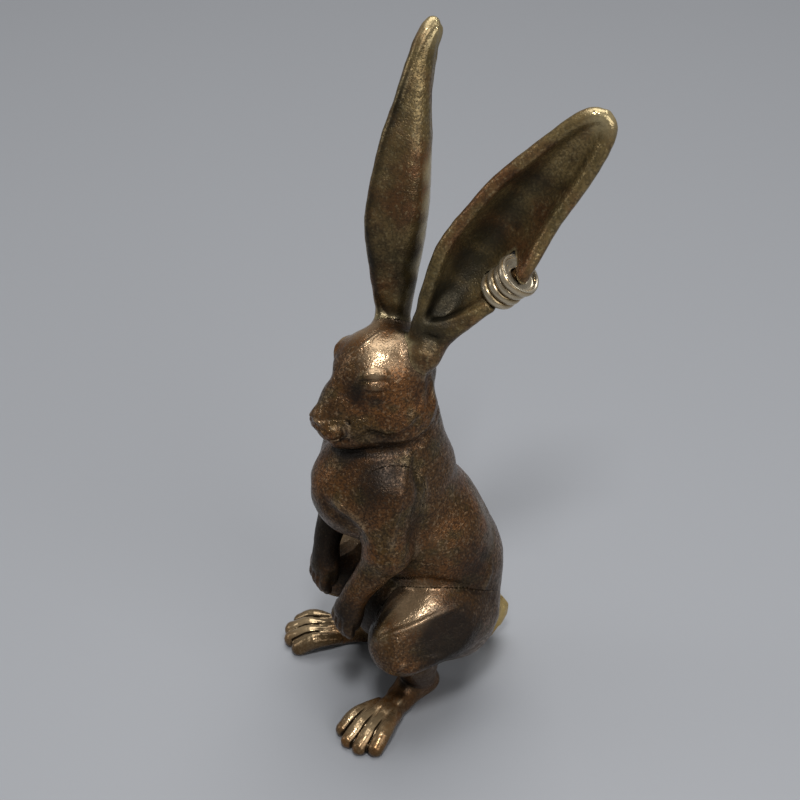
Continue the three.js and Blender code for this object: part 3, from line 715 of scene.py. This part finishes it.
draw_both([
    (10, -11.4, 17.9, .5), (10.7, -10.6, 18.7), (11.2, -9.3, 19.4), (11.7, -7.7, 19.9), (12, -6, 20.3),
    (12.2, -4.2, 20.8), (12.4, -2.4, 21.1), (12.2, -.5, 21.2), (11.9, 1.5, 20.8, .3),
], .45, .35)
draw_both([
    (13, -10.3, 14.6, .4), (13.7, -9.2, 15.2), (14.1, -7.2, 15.6), (14.1, -5, 15.2), (13.6, -2.8, 13.9),
    (12.6, .2, 12.4), (11.6, 3.5, 11.6, .3),
], .4, .2)
draw_both([(7.6, -11.1, 18.9, .3), (6.6, -9.4, 19.4), (6, -7.4, 20.4), (6.2, -5.8, 21.4, .3)], .4, .2)
draw_both([(8.9, -10.9, 19, .3), (8.2, -9, 20.2), (7.8, -7.2, 21.3), (8, -5.4, 22.4, .3)], .4, .16)
draw_both([(10.7, 4.6, 20.4, .5), (10.1, 5.8, 21.2), (9.4, 6.6, 22.4), (8.6, 7.2, 23.8, .2)], .5, .22)
draw_both([(8.8, -2.7, 32.2, .4), (9.4, -1.8, 30.5), (9.9, -1.1, 28.4, .3)], 1.0, .22)

for side in SIDES:
    draw_foot(side)
    draw_paw(side)

# The tail's raised rim, and the roll along the back of the upright ear.

draw_both([(1.2, 13.6, 7.8, .4), (1.6, 13.9, 6.6), (1.8, 13.7, 4.9), (1.7, 12.9, 3.3, .6)], .42, -.95)
draw_both([(.4, 14.5, 7.5, .4), (.8, 15.1, 6.2), (.9, 14.9, 4.7), (1, 13.9, 2.9, .6)], .34, .5)


def ear_line(ear, rows, lift):
    """A line along an ear: rows of share, u and weight, lifted off the blade's middle surface."""
    return [(*(ear.spot(share, u) + lift * ear.opens), weight) for share, u, weight in rows]


draw(ear_line(ear_right, [
    (.06, .6, 0), (.12, .66, .7), (.22, .68, 1), (.32, .76, 1), (.42, .9, .7), (.5, 1, 0),
], -.8), .35, .22)
draw(ear_line(ear_right, [
    (.1, 0, 0), (.2, .05, .7), (.35, .1, 1), (.5, .1, 1), (.65, .05, .5), (.75, 0, 0),
], -1.0), 1.2, .16)
draw(ear_line(ear_right, [(.08, .1, .4), (.16, .12, 1), (.25, .14, .8), (.36, .16, 0)], -1.0), .16, -.1)
draw(ear_line(ear_right, [
    (.5, -.86, 0), (.6, -.86, .8), (.7, -.84, 1), (.78, -.84, .6), (.86, -.84, 0),
], -.8), .26, -.2)
lip_line = [
    (.09, -2.8, .5, .4), (.118, -1.35, .8, 1), (.165, -.05, .8, 1), (.215, 1.3, .7, 1), (.27, 2.4, .5, .6),
    (.3, 3, .4, 0),
]
draw([(*ear_left.flat_spot(*place), weight) for *place, weight in lip_line], .32, .26)

# Each casting: its node, form, fillet into the skin, mesh pitch and material slot.

castings = {
    'torso': (torso, 0.1, 0.34, 'brown_patina'),
    'head': (head, 0.9, 0.17, 'brown_patina'),
    'ear_right': (ear_right, 2.2, 0.25, 'olive_patina'),
    'ear_left': (LeaningEar(), 2.0, 0.25, 'olive_patina'),
    'foreleg_left': (foreleg(1), 1.2, 0.21, 'brown_patina'),
    'foreleg_right': (foreleg(-1), 1.2, 0.21, 'brown_patina'),
    'haunch_left': (haunch(1), 0.9, 0.27, 'brown_patina'),
    'haunch_right': (haunch(-1), 0.9, 0.27, 'brown_patina'),
    'hind_foot_left': (hind_foot(1), 0.6, 0.19, 'rubbed_patina'),
    'hind_foot_right': (hind_foot(-1), 0.6, 0.19, 'rubbed_patina'),
    'tail': (tail, 0.5, 0.19, 'bright_brass'),
}

# Where handling has worn the patina, and where highlights are painted on in that worn colour: a place, how
# far it reaches, and how much.

rubbed_and_highlight_spots = [
    (skull + (0, -10.4, -3.2), 2.6, 0.35),
    (ear_left.spot(1, -0.3), 2.8, 1.0),
    (ear_right.spot(0.99, 0), 3.5, 0.8),
    (ear_right.spot(0.13, -0.3), 3.2, 0.7),
    (ear_right.root, 3.4, 0.4),
    ((0, 13.6, 5.5), 4.5, 0.7),
]
for side in SIDES:
    rubbed_and_highlight_spots += [
        (skull + (side * 2.9, -2.0, 5.6), 3.4, 0.95),
        ((side * 4.4, -8.6, 57.9), 1.3, 1.0),
        ((side * 4.9, -8.9, 56.0), 1.0, 0.6),
        ((side * 9.4, -5.8, 21.4), 4.2, 1.0),
        ((side * 8.9, -6.6, 21.3), 2.0, 1.4),
        ((side * 9.8, -10.6, 18.6), 2.4, 0.5),
        ((side * 9.0, -2.1, 30.5), 3.0, 0.3),
        (soles[side].on_toe(0, 2.6, 2.6), 4.2, 1.0),
    ]

# Painted shade: places painted darker where shade falls, how far each reaches, and how much.

painted_shade_spots = [
    ((-4.5, -11.5, 24.5), 8.0, 0.9),
    ((0, -8.0, 15.0), 7.0, 0.95),
    ((2.5, -11.6, 44.6), 2.8, 0.8),
    ((4.8, -13.5, 36.0), 2.2, 0.55),
    ((1.8, -15.4, 37.0), 2.6, 0.45),
    ((6.0, -14.4, 20.4), 4.2, 0.75),
    ((13.4, -2.2, 16.6), 5.6, 1.3),
    ((10.4, 5.0, 19.5), 5.0, 0.6),
    ((9.0, -4.6, 33.7), 2.8, 0.55),
    ((7.0, -9.6, 42.8), 4.6, 0.85),
    ((9.4, 3.6, 25.0), 5.0, 0.75),
    ((5.4, -7.6, 46.6), 2.6, 0.7),
    ((5.8, -2.2, 54.0), 3.2, 0.55),
    ((3.6, -11.2, 54.7), 2.0, 0.95),
    ((5.0, -9.3, 54.2), 1.6, 0.6),
    ((6.4, -5.4, 51.6), 3.4, 0.3),
    ((7.2, -6.5, 3.2), 4.4, 0.6),
    ((7.8, -4.6, 6.0), 4.6, 0.8),
    ((3.6, 1.3, 64.7), 2.0, 1.1),
]
# Painted shade inside the leaning ear's cup, less towards its tip, and along one rim of the upright ear;
# painted highlight over the upright ear's other half.
for share in (0.1, 0.2, 0.32, 0.44, 0.56, 0.68):
    painted_shade_spots.append((ear_left.spot(share, -0.15) + 0.8 * ear_left.opens, 3.6, 1.25 - 0.7 * share))
for share in (0.25, 0.35, 0.45, 0.55):
    painted_shade_spots.append((ear_right.spot(share, 1), 1.5, 0.6))
    rubbed_and_highlight_spots.append((ear_right.spot(share, -0.6), 2.8, 1.7))

# The slight unevenness that wax and chasing leave: waves of a length and a height in mm.

waves = ((7.0, 0.012), (4.5, 0.01), (3.1, 0.008), (2.2, 0.006), (1.5, 0.005), (1.1, 0.004))
swells = []
draws = np.random.default_rng(7)
for wavelength, height in waves:
    for repeat in range(3):
        way = unit(draws.normal(size=3)) * 2 * np.pi / wavelength
        swells.append((way.astype(np.float32), draws.uniform(0, 2 * np.pi), height))


def hand_work(points):
    return sum(height * np.sin(points @ way + start) for way, start, height in swells)


def skin(points):
    """The distance to the whole rabbit's skin."""
    result = None
    for form, fillet, pitch, slot in castings.values():
        part = near(points, form)
        result = part if result is None else blend(result, part, fillet)
    result = result + hand_work(points)
    for stroke in strokes:
        inside = (box_gap(points, stroke.low, stroke.high) == 0) & (np.abs(result) < 2)
        if inside.any():
            result[inside] -= stroke(points[inside])
    return carve(result, -points[:, 2], 0.25)


def claim(points, name):
    """Negative where a casting's own form is nearer than any other's."""
    others = [near(points, row[0]) for other, row in castings.items() if other != name]
    return near(points, castings[name][0]) - np.min(others, axis=0)


# Meshing.

BLOCK = 4
coarser = 1.0
CORNERS = np.array([(i, j, k) for i in (0, 1) for j in (0, 1) for k in (0, 1)])


def grid_rows(counts):
    return np.stack(np.meshgrid(*[np.arange(n) for n in counts], indexing='ij'), -1).reshape(-1, 3)


def skin_net(name):
    """A net of quads over the skin around one casting, with its points still on the grid."""
    form, fillet, pitch, slot = castings[name]
    low = form.low - 1.0
    pitch = pitch * coarser
    size = BLOCK * pitch
    blocks = np.ceil((form.high + 1.0 - low) / size).astype(int)
    rows = grid_rows(blocks)
    centres = (low + (rows + 0.5) * size).astype(np.float32)
    reach = 1.6 * size
    kept = claim(centres, name) < 2 * reach
    kept[kept] = np.abs(skin(centres[kept])) < reach
    counts = blocks * BLOCK + 1
    wanted = np.zeros(counts, bool)
    for offset in grid_rows((BLOCK + 1,) * 3):
        wanted[tuple((rows[kept] * BLOCK + offset).T)] = True
    values = np.full(counts, np.nan, np.float32)
    spots = np.argwhere(wanted)
    values[wanted] = skin((low + spots * pitch).astype(np.float32))

    inside = values < 0
    stop = [n - 1 for n in counts]
    corner_of = [tuple(slice(c, c + n) for c, n in zip(corner, stop)) for corner in CORNERS]
    count_inside = sum(inside[part].astype(np.int8) for part in corner_of)
    known = np.all([np.isfinite(values[part]) for part in corner_of], axis=0)
    cells = np.argwhere(known & (count_inside > 0) & (count_inside < 8))
    total = np.zeros((len(cells), 3))
    hits = np.zeros(len(cells))
    for corner in CORNERS:
        for axis in range(3):
            if corner[axis]:
                continue
            other = corner.copy()
            other[axis] = 1
            a = values[tuple((cells + corner).T)]
            b = values[tuple((cells + other).T)]
            crossed = (a < 0) != (b < 0)
            share = np.where(crossed, a / np.where(crossed, a - b, 1), 0)
            spot = corner + share[:, None] * (other - corner)
            total[crossed] += spot[crossed]
            hits[crossed] += 1
    points = low + (cells + total / hits[:, None]) * pitch
    number = np.full(stop, -1)
    number[tuple(cells.T)] = np.arange(len(cells))

    quads = []
    for axis in range(3):
        one, two = (axis + 1) % 3, (axis + 2) % 3
        first = [slice(1, n) for n in stop]
        first[axis] = slice(0, stop[axis])
        second = list(first)
        second[axis] = slice(1, stop[axis] + 1)
        a, b = values[tuple(first)], values[tuple(second)]
        edges = np.argwhere(np.isfinite(a) & np.isfinite(b) & ((a < 0) != (b < 0)))
        upward = a[tuple(edges.T)] < 0
        edges[:, one] += 1
        edges[:, two] += 1
        around = []
        for back_one, back_two in ((1, 1), (0, 1), (0, 0), (1, 0)):
            cell = edges.copy()
            cell[:, one] -= back_one
            cell[:, two] -= back_two
            around.append(number[tuple(cell.T)])
        ring = np.stack(around, 1)
        ring[~upward] = ring[~upward][:, ::-1]
        quads.append(ring[(ring >= 0).all(1)])
    return points.astype(np.float32), np.vstack(quads)


def slope_of(field, points, step=0.03):
    """How a distance rises along x, y and z at each point."""
    rise = []
    for axis in range(3):
        nudge = np.zeros(3, np.float32)
        nudge[axis] = step
        rise.append(field(points + nudge) - field(points - nudge))
    return np.stack(rise, 1) / (2 * step)


def onto_skin(points):
    """Moves points along the slope until they lie on the skin."""
    for repeat in range(2):
        slope = slope_of(skin, points)
        steepness = np.maximum(np.einsum('ij,ij->i', slope, slope), 0.2)
        step = np.clip(skin(points) / steepness, -0.2, 0.2)
        points = points - (step[:, None] * slope).astype(np.float32)
    return points


def triangles_of(points, quads):
    """Splits each quad along its shorter diagonal."""
    p, q, r, s = quads.T
    across = (length(points[p] - points[r]) < length(points[q] - points[s]))[:, None]
    a = np.where(across, quads[:, [0, 1, 2]], quads[:, [1, 2, 3]])
    b = np.where(across, quads[:, [0, 2, 3]], quads[:, [1, 3, 0]])
    return np.vstack([a, b])


def cut_to(points, triangles, value):
    """Keeps the part of a triangle mesh where value is negative, cut along its zero line."""
    inside = value < 0
    count = inside[triangles].sum(1)
    whole = triangles[count == 3]
    mixed = triangles[(count == 1) | (count == 2)]
    mixed_count = inside[mixed].sum(1)
    odd = np.where(mixed_count == 1, inside[mixed].argmax(1), (~inside[mixed]).argmax(1))
    turned = np.stack([mixed[np.arange(len(mixed)), (odd + k) % 3] for k in range(3)], 1)
    edges = np.sort(np.vstack([turned[:, [0, 1]], turned[:, [0, 2]]]), axis=1)
    unique, which = np.unique(edges, axis=0, return_inverse=True)
    which = which.reshape(-1) + len(points)
    a, b = unique.T
    share = value[a] / (value[a] - value[b])
    cuts = points[a] + share[:, None] * (points[b] - points[a])
    first, second = which[:len(mixed)], which[len(mixed):]
    lone = mixed_count == 1
    tips = np.stack([turned[lone, 0], first[lone], second[lone]], 1)
    pair = ~lone
    low = np.stack([first[pair], turned[pair, 1], turned[pair, 2]], 1)
    high = np.stack([first[pair], turned[pair, 2], second[pair]], 1)
    every = np.vstack([points, cuts]).astype(np.float32)
    faces = np.vstack([whole, tips, low, high])
    return every, faces


def largest_piece(faces, count):
    """The faces of the largest connected piece."""
    label = np.arange(count)
    while True:
        lowest = label[faces].min(1)
        before = label.copy()
        for column in range(3):
            np.minimum.at(label, faces[:, column], lowest)
        label = label[label]
        if np.array_equal(before, label):
            break
    values, sizes = np.unique(label[faces[:, 0]], return_counts=True)
    return faces[label[faces[:, 0]] == values[sizes.argmax()]]


def border_rings(faces):
    """The open borders of a mesh, as rings of point numbers."""
    edges = np.vstack([faces[:, [0, 1]], faces[:, [1, 2]], faces[:, [2, 0]]])
    known = {tuple(edge) for edge in edges.tolist()}
    following = {b: a for a, b in known if (b, a) not in known}
    rings = []
    while following:
        start, here = following.popitem()
        ring = [start]
        while here in following:
            ring.append(here)
            here = following.pop(here)
        rings.append(ring)
    return rings


def closed(points, faces):
    """Closes each border with a shallow cone inside the rabbit, where it meets its neighbour."""
    extra = []
    caps = []
    for ring in border_rings(faces):
        middle = len(points) + len(extra)
        extra.append(points[ring].mean(0))
        caps += [(a, b, middle) for a, b in zip(ring, ring[1:] + ring[:1])]
    if not caps:
        return points, np.zeros((0, 3), int)
    return np.vstack([points, extra]).astype(np.float32), np.array(caps)


def tidy_numbers(points, faces):
    """Leaves out the points that no face uses."""
    used, again = np.unique(faces, return_inverse=True)
    return points[used], again.reshape(faces.shape)


def mesh_object(name, points, faces, normals=None, tones=None):
    mesh = bpy.data.meshes.new(name)
    mesh.from_pydata(((points + shift) * MM).tolist(), [], faces.tolist())
    mesh.update()
    mesh.polygons.foreach_set('use_smooth', np.ones(len(mesh.polygons), bool))
    for key, values in (tones or {}).items():
        layer = mesh.attributes.new(key, 'FLOAT', 'POINT')
        layer.data.foreach_set('value', values.astype(np.float32))
    if normals is not None:
        layer = mesh.attributes.new('custom_normal', 'FLOAT_VECTOR', 'CORNER')
        layer.data.foreach_set('vector', np.asarray(normals, np.float32).ravel())
    thing = bpy.data.objects.new(name, mesh)
    bpy.context.scene.collection.objects.link(thing)
    return thing


def spread(points, spots):
    """How much of a tone reaches each point from its spots."""
    gaps = [length(points - np.array(spot)) / reach for spot, reach, share in spots]
    return np.max([row[2] * np.exp(-gap ** 2) for row, gap in zip(spots, gaps)], axis=0)


def casting_object(name):
    points, quads = skin_net(name)
    points = onto_skin(points)
    points, faces = cut_to(points, triangles_of(points, quads), claim(points, name))
    faces = largest_piece(faces, len(points))
    points, faces = tidy_numbers(points, faces)
    normals = slope_of(skin, points)
    normals /= np.maximum(length(normals), 1e-6)[:, None]
    rub_and_highlight = spread(points, rubbed_and_highlight_spots)
    tones = {
        'ridge': 1 + skin(points - normals * 0.5) / 0.5,
        'hollow': 1 - skin(points + normals * 1.2) / 1.2 - 0.5 * rub_and_highlight,
        # Painted shade: wide hollows a few mm across, under and between parts, which the colour paints
        # darker.
        'deep': 1 - skin(points + normals * 3.5) / 3.5 - 0.5 * rub_and_highlight,
        'rub_and_highlight': rub_and_highlight,
        'painted_shade': spread(points, painted_shade_spots),
        'seam': np.exp(claim(points, name) / 2),
    }
    points, caps = closed(points, faces)
    spare = np.zeros(len(points) - len(normals))
    tones = {key: np.append(values, spare) for key, values in tones.items()}
    corners = normals[faces].reshape(-1, 3)
    if len(caps):
        flat = np.cross(points[caps[:, 1]] - points[caps[:, 0]], points[caps[:, 2]] - points[caps[:, 0]])
        flat /= np.maximum(length(flat), 1e-9)[:, None]
        corners = np.vstack([corners, np.repeat(flat, 3, axis=0)])
        faces = np.vstack([faces, caps])
    return mesh_object(name + '_cast', points, faces, corners, tones)


# The cuff, turned on its own axis with its ribs and a rolled lip.

def cuff_object():
    half = cuff_length / 2
    pitch = cuff_length / 4
    bore = bar_radius + 0.22
    profile = [(bore, -half + 0.15, 0), (bore + 0.12, -half, 0.3)]
    for rib in range(4):
        middle = (rib + 0.5) * pitch - half
        crest = cuff_mouth if rib == 3 else cuff_rib
        for place in np.linspace(-0.92, 0.92, 11):
            round_off = 1 - np.sqrt(1 - place ** 2)
            profile.append((crest - 0.6 * round_off, middle + place * pitch / 2, 1 - 1.2 * round_off))
        if rib < 3:
            profile.append((cuff_rib - 0.56, middle + pitch / 2, 0))
    profile += [
        (2.84, half - 0.04, 1.6),
        (2.66, half, 2),
        (2.5, half - 0.08, 1.6),
        (2.4, half - 0.26, 0.9),
        (2.33, half - 0.42, 1),
        (2.2, half - 0.54, 1.3),
        (1.8, half - 0.58, 1.4),
        (bore + 0.1, half - 0.6, 1.3),
    ]
    profile += [(bore, place, 0) for place in np.linspace(half - 0.8, -half + 0.6, 6)]
    radii, places, tones = np.array(profile).T
    sides = 96
    turn = np.arange(sides) * 2 * np.pi / sides
    out = unit(np.cross(cuff_axis, (0, 0, 1)))
    up = np.cross(cuff_axis, out)
    rings = []
    for radius, place in zip(radii, places):
        wave = 0.035 * np.sin(2 * turn + 1.7 * place) + 0.02 * np.sin(5 * turn - 2.3 * place + 1)
        wave = wave * np.clip((radius - bore) / 0.5, 0, 1)
        way = np.cos(turn)[:, None] * out + np.sin(turn)[:, None] * up
        rings.append(cuff_middle + place * cuff_axis + (radius - 0.035 + wave)[:, None] * way)
    points = np.vstack(rings)
    rows = len(rings)
    faces = []
    for i in range(rows):
        for j in range(sides):
            a, b = i * sides + j, i * sides + (j + 1) % sides
            c, d = (i + 1) % rows * sides + (j + 1) % sides, (i + 1) % rows * sides + j
            faces.append((a, b, c, d))
    faces = np.array(faces)
    tone = np.repeat(np.clip(tones, 0, 2), sides)
    # The profile's tone lightens the crests and the lip as wear and painted highlight, and darkens the
    # grooves and the bore.
    keys = {'ridge': np.minimum(tone, 1) * 0.35, 'hollow': 0.6 - tone, 'rub_and_highlight': tone * 0.5}
    return mesh_object('cuff_cast', points, faces, None, keys)


# Materials. Colours are written as they look, and turned to linear light here.

def linear(colour):
    parts = [int(colour[i:i + 2], 16) / 255 for i in (1, 3, 5)]
    return (*[p / 12.92 if p <= 0.04045 else ((p + 0.055) / 1.055) ** 2.4 for p in parts], 1)


def brass(name, colours, gloss, metal, grain, speckle):
    """Patinated brass: deep in its hollows, worn on its ridges, pitted with fine cast grain, with painted
    shade in wide hollows and at shade spots, and painted highlights at worn spots.
    """
    deep, painted_shade, base, warm, rubbed_and_highlight = colours.split()
    material = bpy.data.materials.new(name)
    material.use_nodes = True
    nodes, links = material.node_tree.nodes, material.node_tree.links
    shader = nodes['Principled BSDF']
    place = nodes.new('ShaderNodeTexCoord').outputs['Object']

    def noise(scale, detail=3.0, roughness=0.55):
        node = nodes.new('ShaderNodeTexNoise')
        node.inputs['Scale'].default_value = scale
        node.inputs['Detail'].default_value = detail
        node.inputs['Roughness'].default_value = roughness
        links.new(place, node.inputs['Vector'])
        return node.outputs['Fac']

    def ramp(value, low, high, start=0.0, end=1.0):
        node = nodes.new('ShaderNodeMapRange')
        node.interpolation_type = 'SMOOTHSTEP'
        for key, number in (('From Min', low), ('From Max', high), ('To Min', start), ('To Max', end)):
            node.inputs[key].default_value = number
        links.new(value, node.inputs['Value'])
        return node.outputs['Result']

    def mix(share, first, second):
        node = nodes.new('ShaderNodeMix')
        node.data_type = 'RGBA'
        links.new(share, node.inputs['Factor'])
        for socket, colour in (('A', first), ('B', second)):
            target = next(s for s in node.inputs if s.identifier == socket + '_Color')
            if isinstance(colour, str):
                target.default_value = linear(colour)
            else:
                links.new(colour, target)
        return next(s for s in node.outputs if s.identifier == 'Result_Color')

    def math(kind, first, second):
        node = nodes.new('ShaderNodeMath')
        node.operation = kind
        for socket, value in zip(node.inputs, (first, second)):
            if isinstance(value, (int, float)):
                socket.default_value = value
            else:
                links.new(value, socket)
        return node.outputs['Value']

    def scaled(value, share):
        return math('MULTIPLY', value, share)

    def wander(value, share):
        """A noise turned to both sides of nought."""
        return scaled(math('SUBTRACT', value, 0.5), share)

    def tone(key):
        node = nodes.new('ShaderNodeAttribute')
        node.attribute_name = key
        return node.outputs['Fac']

    def outside_rub_and_highlight(share):
        return math('SUBTRACT', 1.0, scaled(tone('rub_and_highlight'), share))

    fine = noise(3000, 2.0)
    speck = noise(2100, 1.0)
    patch = noise(420, 4.0)
    broad = noise(105, 3.0)
    grain_mask = math('MULTIPLY', ramp(fine, 0.42, 0.6), outside_rub_and_highlight(0.55))
    colour = mix(ramp(broad, 0.42, 0.6), base, warm)
    colour = mix(ramp(patch, 0.5, 0.7, 0, 0.45), colour, deep)
    colour = mix(scaled(tone('seam'), 0.8), colour, '#503a24')
    colour = mix(ramp(noise(230, 2.0), 0.5, 0.64, 0, 0.55 * speckle), colour, '#453f26')
    worn = math('ADD', scaled(tone('ridge'), 1.1), wander(patch, 0.4))
    colour = mix(ramp(worn, 0.1, 0.65, 0, 0.7), colour, rubbed_and_highlight)
    # Wear and painted highlight: the lighter worn colour at the worn spots.
    rub_and_highlight_amount = math('ADD', tone('rub_and_highlight'), wander(fine, 0.9 * speckle))
    colour = mix(ramp(rub_and_highlight_amount, 0.2, 1.0, 0, 0.8), colour, rubbed_and_highlight)
    colour = mix(ramp(speck, 0.56, 0.7, 0, 0.33 * speckle), colour, rubbed_and_highlight)
    colour = mix(scaled(grain_mask, 0.62 * speckle), colour, deep)
    # Painted shade: the colour goes towards the slot's shade colour at the shade spots.
    painted_shade_amount = math('ADD', tone('painted_shade'), wander(patch, 0.5))
    colour = mix(ramp(painted_shade_amount, 0.05, 0.95, 0, 0.9), colour, painted_shade)
    colour = mix(ramp(tone('hollow'), 0.1, 0.6, 0, 0.9), colour, deep)
    # Painted shade in wide hollows, under and between parts.
    colour = mix(ramp(tone('deep'), 0.25, 0.85, 0, 0.75), colour, deep)
    links.new(colour, shader.inputs['Base Color'])
    shader.inputs['Metallic'].default_value = metal
    dull = math('ADD', scaled(grain_mask, 0.16), scaled(ramp(patch, 0.4, 0.7), 0.1))
    spot_roughness = math('ADD', scaled(tone('rub_and_highlight'), -0.12), scaled(tone('painted_shade'), 0.16))
    links.new(math('ADD', math('ADD', dull, gloss), spot_roughness), shader.inputs['Roughness'])
    shader.inputs['Specular IOR Level'].default_value = 0.3
    pits = nodes.new('ShaderNodeTexVoronoi')
    pits.inputs['Scale'].default_value = 3000
    links.new(place, pits.inputs['Vector'])
    relief = math('ADD', fine, scaled(ramp(pits.outputs['Distance'], 0.1, 0.5), 0.5))
    bump = nodes.new('ShaderNodeBump')
    bump.inputs['Strength'].default_value = grain
    bump.inputs['Distance'].default_value = 0.00006
    links.new(math('MULTIPLY', relief, outside_rub_and_highlight(0.45)), bump.inputs['Height'])
    links.new(bump.outputs['Normal'], shader.inputs['Normal'])
    return material


# Each slot: its colours (deep, painted shade, base, warm, worn and painted highlight), gloss, metal, grain
# and speckle.

slots = {
    'brown_patina': ('#120d08 #1b1612 #583f26 #714a27 #a38b6d', 0.24, 0.6, 0.9, 1.0),
    'olive_patina': ('#15120b #262319 #766441 #6b4a2e #b0a078', 0.24, 0.6, 0.6, 0.75),
    'rubbed_patina': ('#17110a #231a12 #5a452c #744f2a #b09a78', 0.2, 0.65, 0.4, 0.6),
    'bright_brass': ('#3a2c14 #4a3b20 #9c7f48 #a8884a #dcc890', 0.2, 0.8, 0.2, 0.4),
    'pale_brass': ('#42372a #5a4c38 #84704e #8a6f44 #cfc5b0', 0.18, 0.75, 0.03, 0.15),
}
finishes = {slot: brass(slot, *row) for slot, row in slots.items()}


def dress(piece, node, body, slot):
    piece.data.materials.append(finishes[slot])
    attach(piece, body)
    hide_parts(node)


for name, (form, fillet, pitch, slot) in castings.items():
    dress(casting_object(name), name, 'rabbit', slot)
dress(cuff_object(), 'ear_cuff', 'ear_cuff', 'pale_brass')

# The stage: a pale floor, soft lights and the camera at the photograph's angle.

def aim(thing, place, target, up=(0, 0, 1)):
    back = unit(np.array(place) - np.array(target))
    right = unit(np.cross(up, back))
    turn = Matrix(np.stack([right, np.cross(back, right), back], 1).tolist()).to_4x4()
    thing.matrix_world = Matrix.Translation(Vector(place)) @ turn


floor_size = 3.0
floor_mesh = bpy.data.meshes.new('floor')
corners = [(x * floor_size, y * floor_size, 0) for x, y in ((-1, -1), (1, -1), (1, 1), (-1, 1))]
floor_mesh.from_pydata(corners, [], [(0, 1, 2, 3)])
floor = bpy.data.objects.new('floor', floor_mesh)
bpy.context.scene.collection.objects.link(floor)
paint = bpy.data.materials.new('floor_paint')
paint.use_nodes = True
paint_shader = paint.node_tree.nodes['Principled BSDF']
paint_shader.inputs['Base Color'].default_value = linear('#818387')
paint_shader.inputs['Roughness'].default_value = 0.55
floor_mesh.materials.append(paint)

# The camera: its angles in degrees, its distance in metres and its focal length in pixels.

azimuth, elevation = np.radians((62, 35))
distance = 0.237
focal = 1733
photo_width = 800
sensor = 36
aside = (np.sin(azimuth) * np.cos(elevation), -np.cos(azimuth) * np.cos(elevation))
view_back = np.array((*aside, np.sin(elevation)))
view_target = (np.array((-5.1, 0, 45)) + shift) * MM
view_place = view_target + view_back * distance
camera = bpy.data.objects.new('camera', bpy.data.cameras.new('camera'))
camera.data.sensor_width = sensor
camera.data.lens = sensor * focal / photo_width
camera.data.clip_start = 0.01
bpy.context.scene.collection.objects.link(camera)
aim(camera, view_place, view_target)
bpy.context.scene.camera = camera


def area_light(name, place, target, size, power):
    light = bpy.data.lights.new(name, 'AREA')
    light.shape = 'RECTANGLE'
    light.size, light.size_y = size
    light.energy = power
    thing = bpy.data.objects.new(name, light)
    bpy.context.scene.collection.objects.link(thing)
    aim(thing, place, target)


area_light('ceiling', (-0.14, 0.1, 0.6), (0, 0, 0.04), (0.5, 0.5), 3.5)
area_light('lamp', (0.22, -0.13, 0.52), (0, 0, 0.05), (0.085, 0.085), 1.8)
area_light('camera_side', (0.48, 0.1, 0.3), (0, 0, 0.06), (0.35, 0.35), 1.3)
area_light('side', (-0.35, -0.5, 0.3), (0, 0, 0.05), (0.25, 0.25), 0.5)
world = bpy.data.worlds.new('world')
bpy.context.scene.world = world
world.use_nodes = True
background = world.node_tree.nodes['Background']
background.inputs['Color'].default_value = (1, 1, 1, 1)
background.inputs['Strength'].default_value = 0.19
bpy.context.scene.view_settings.view_transform = 'Standard'
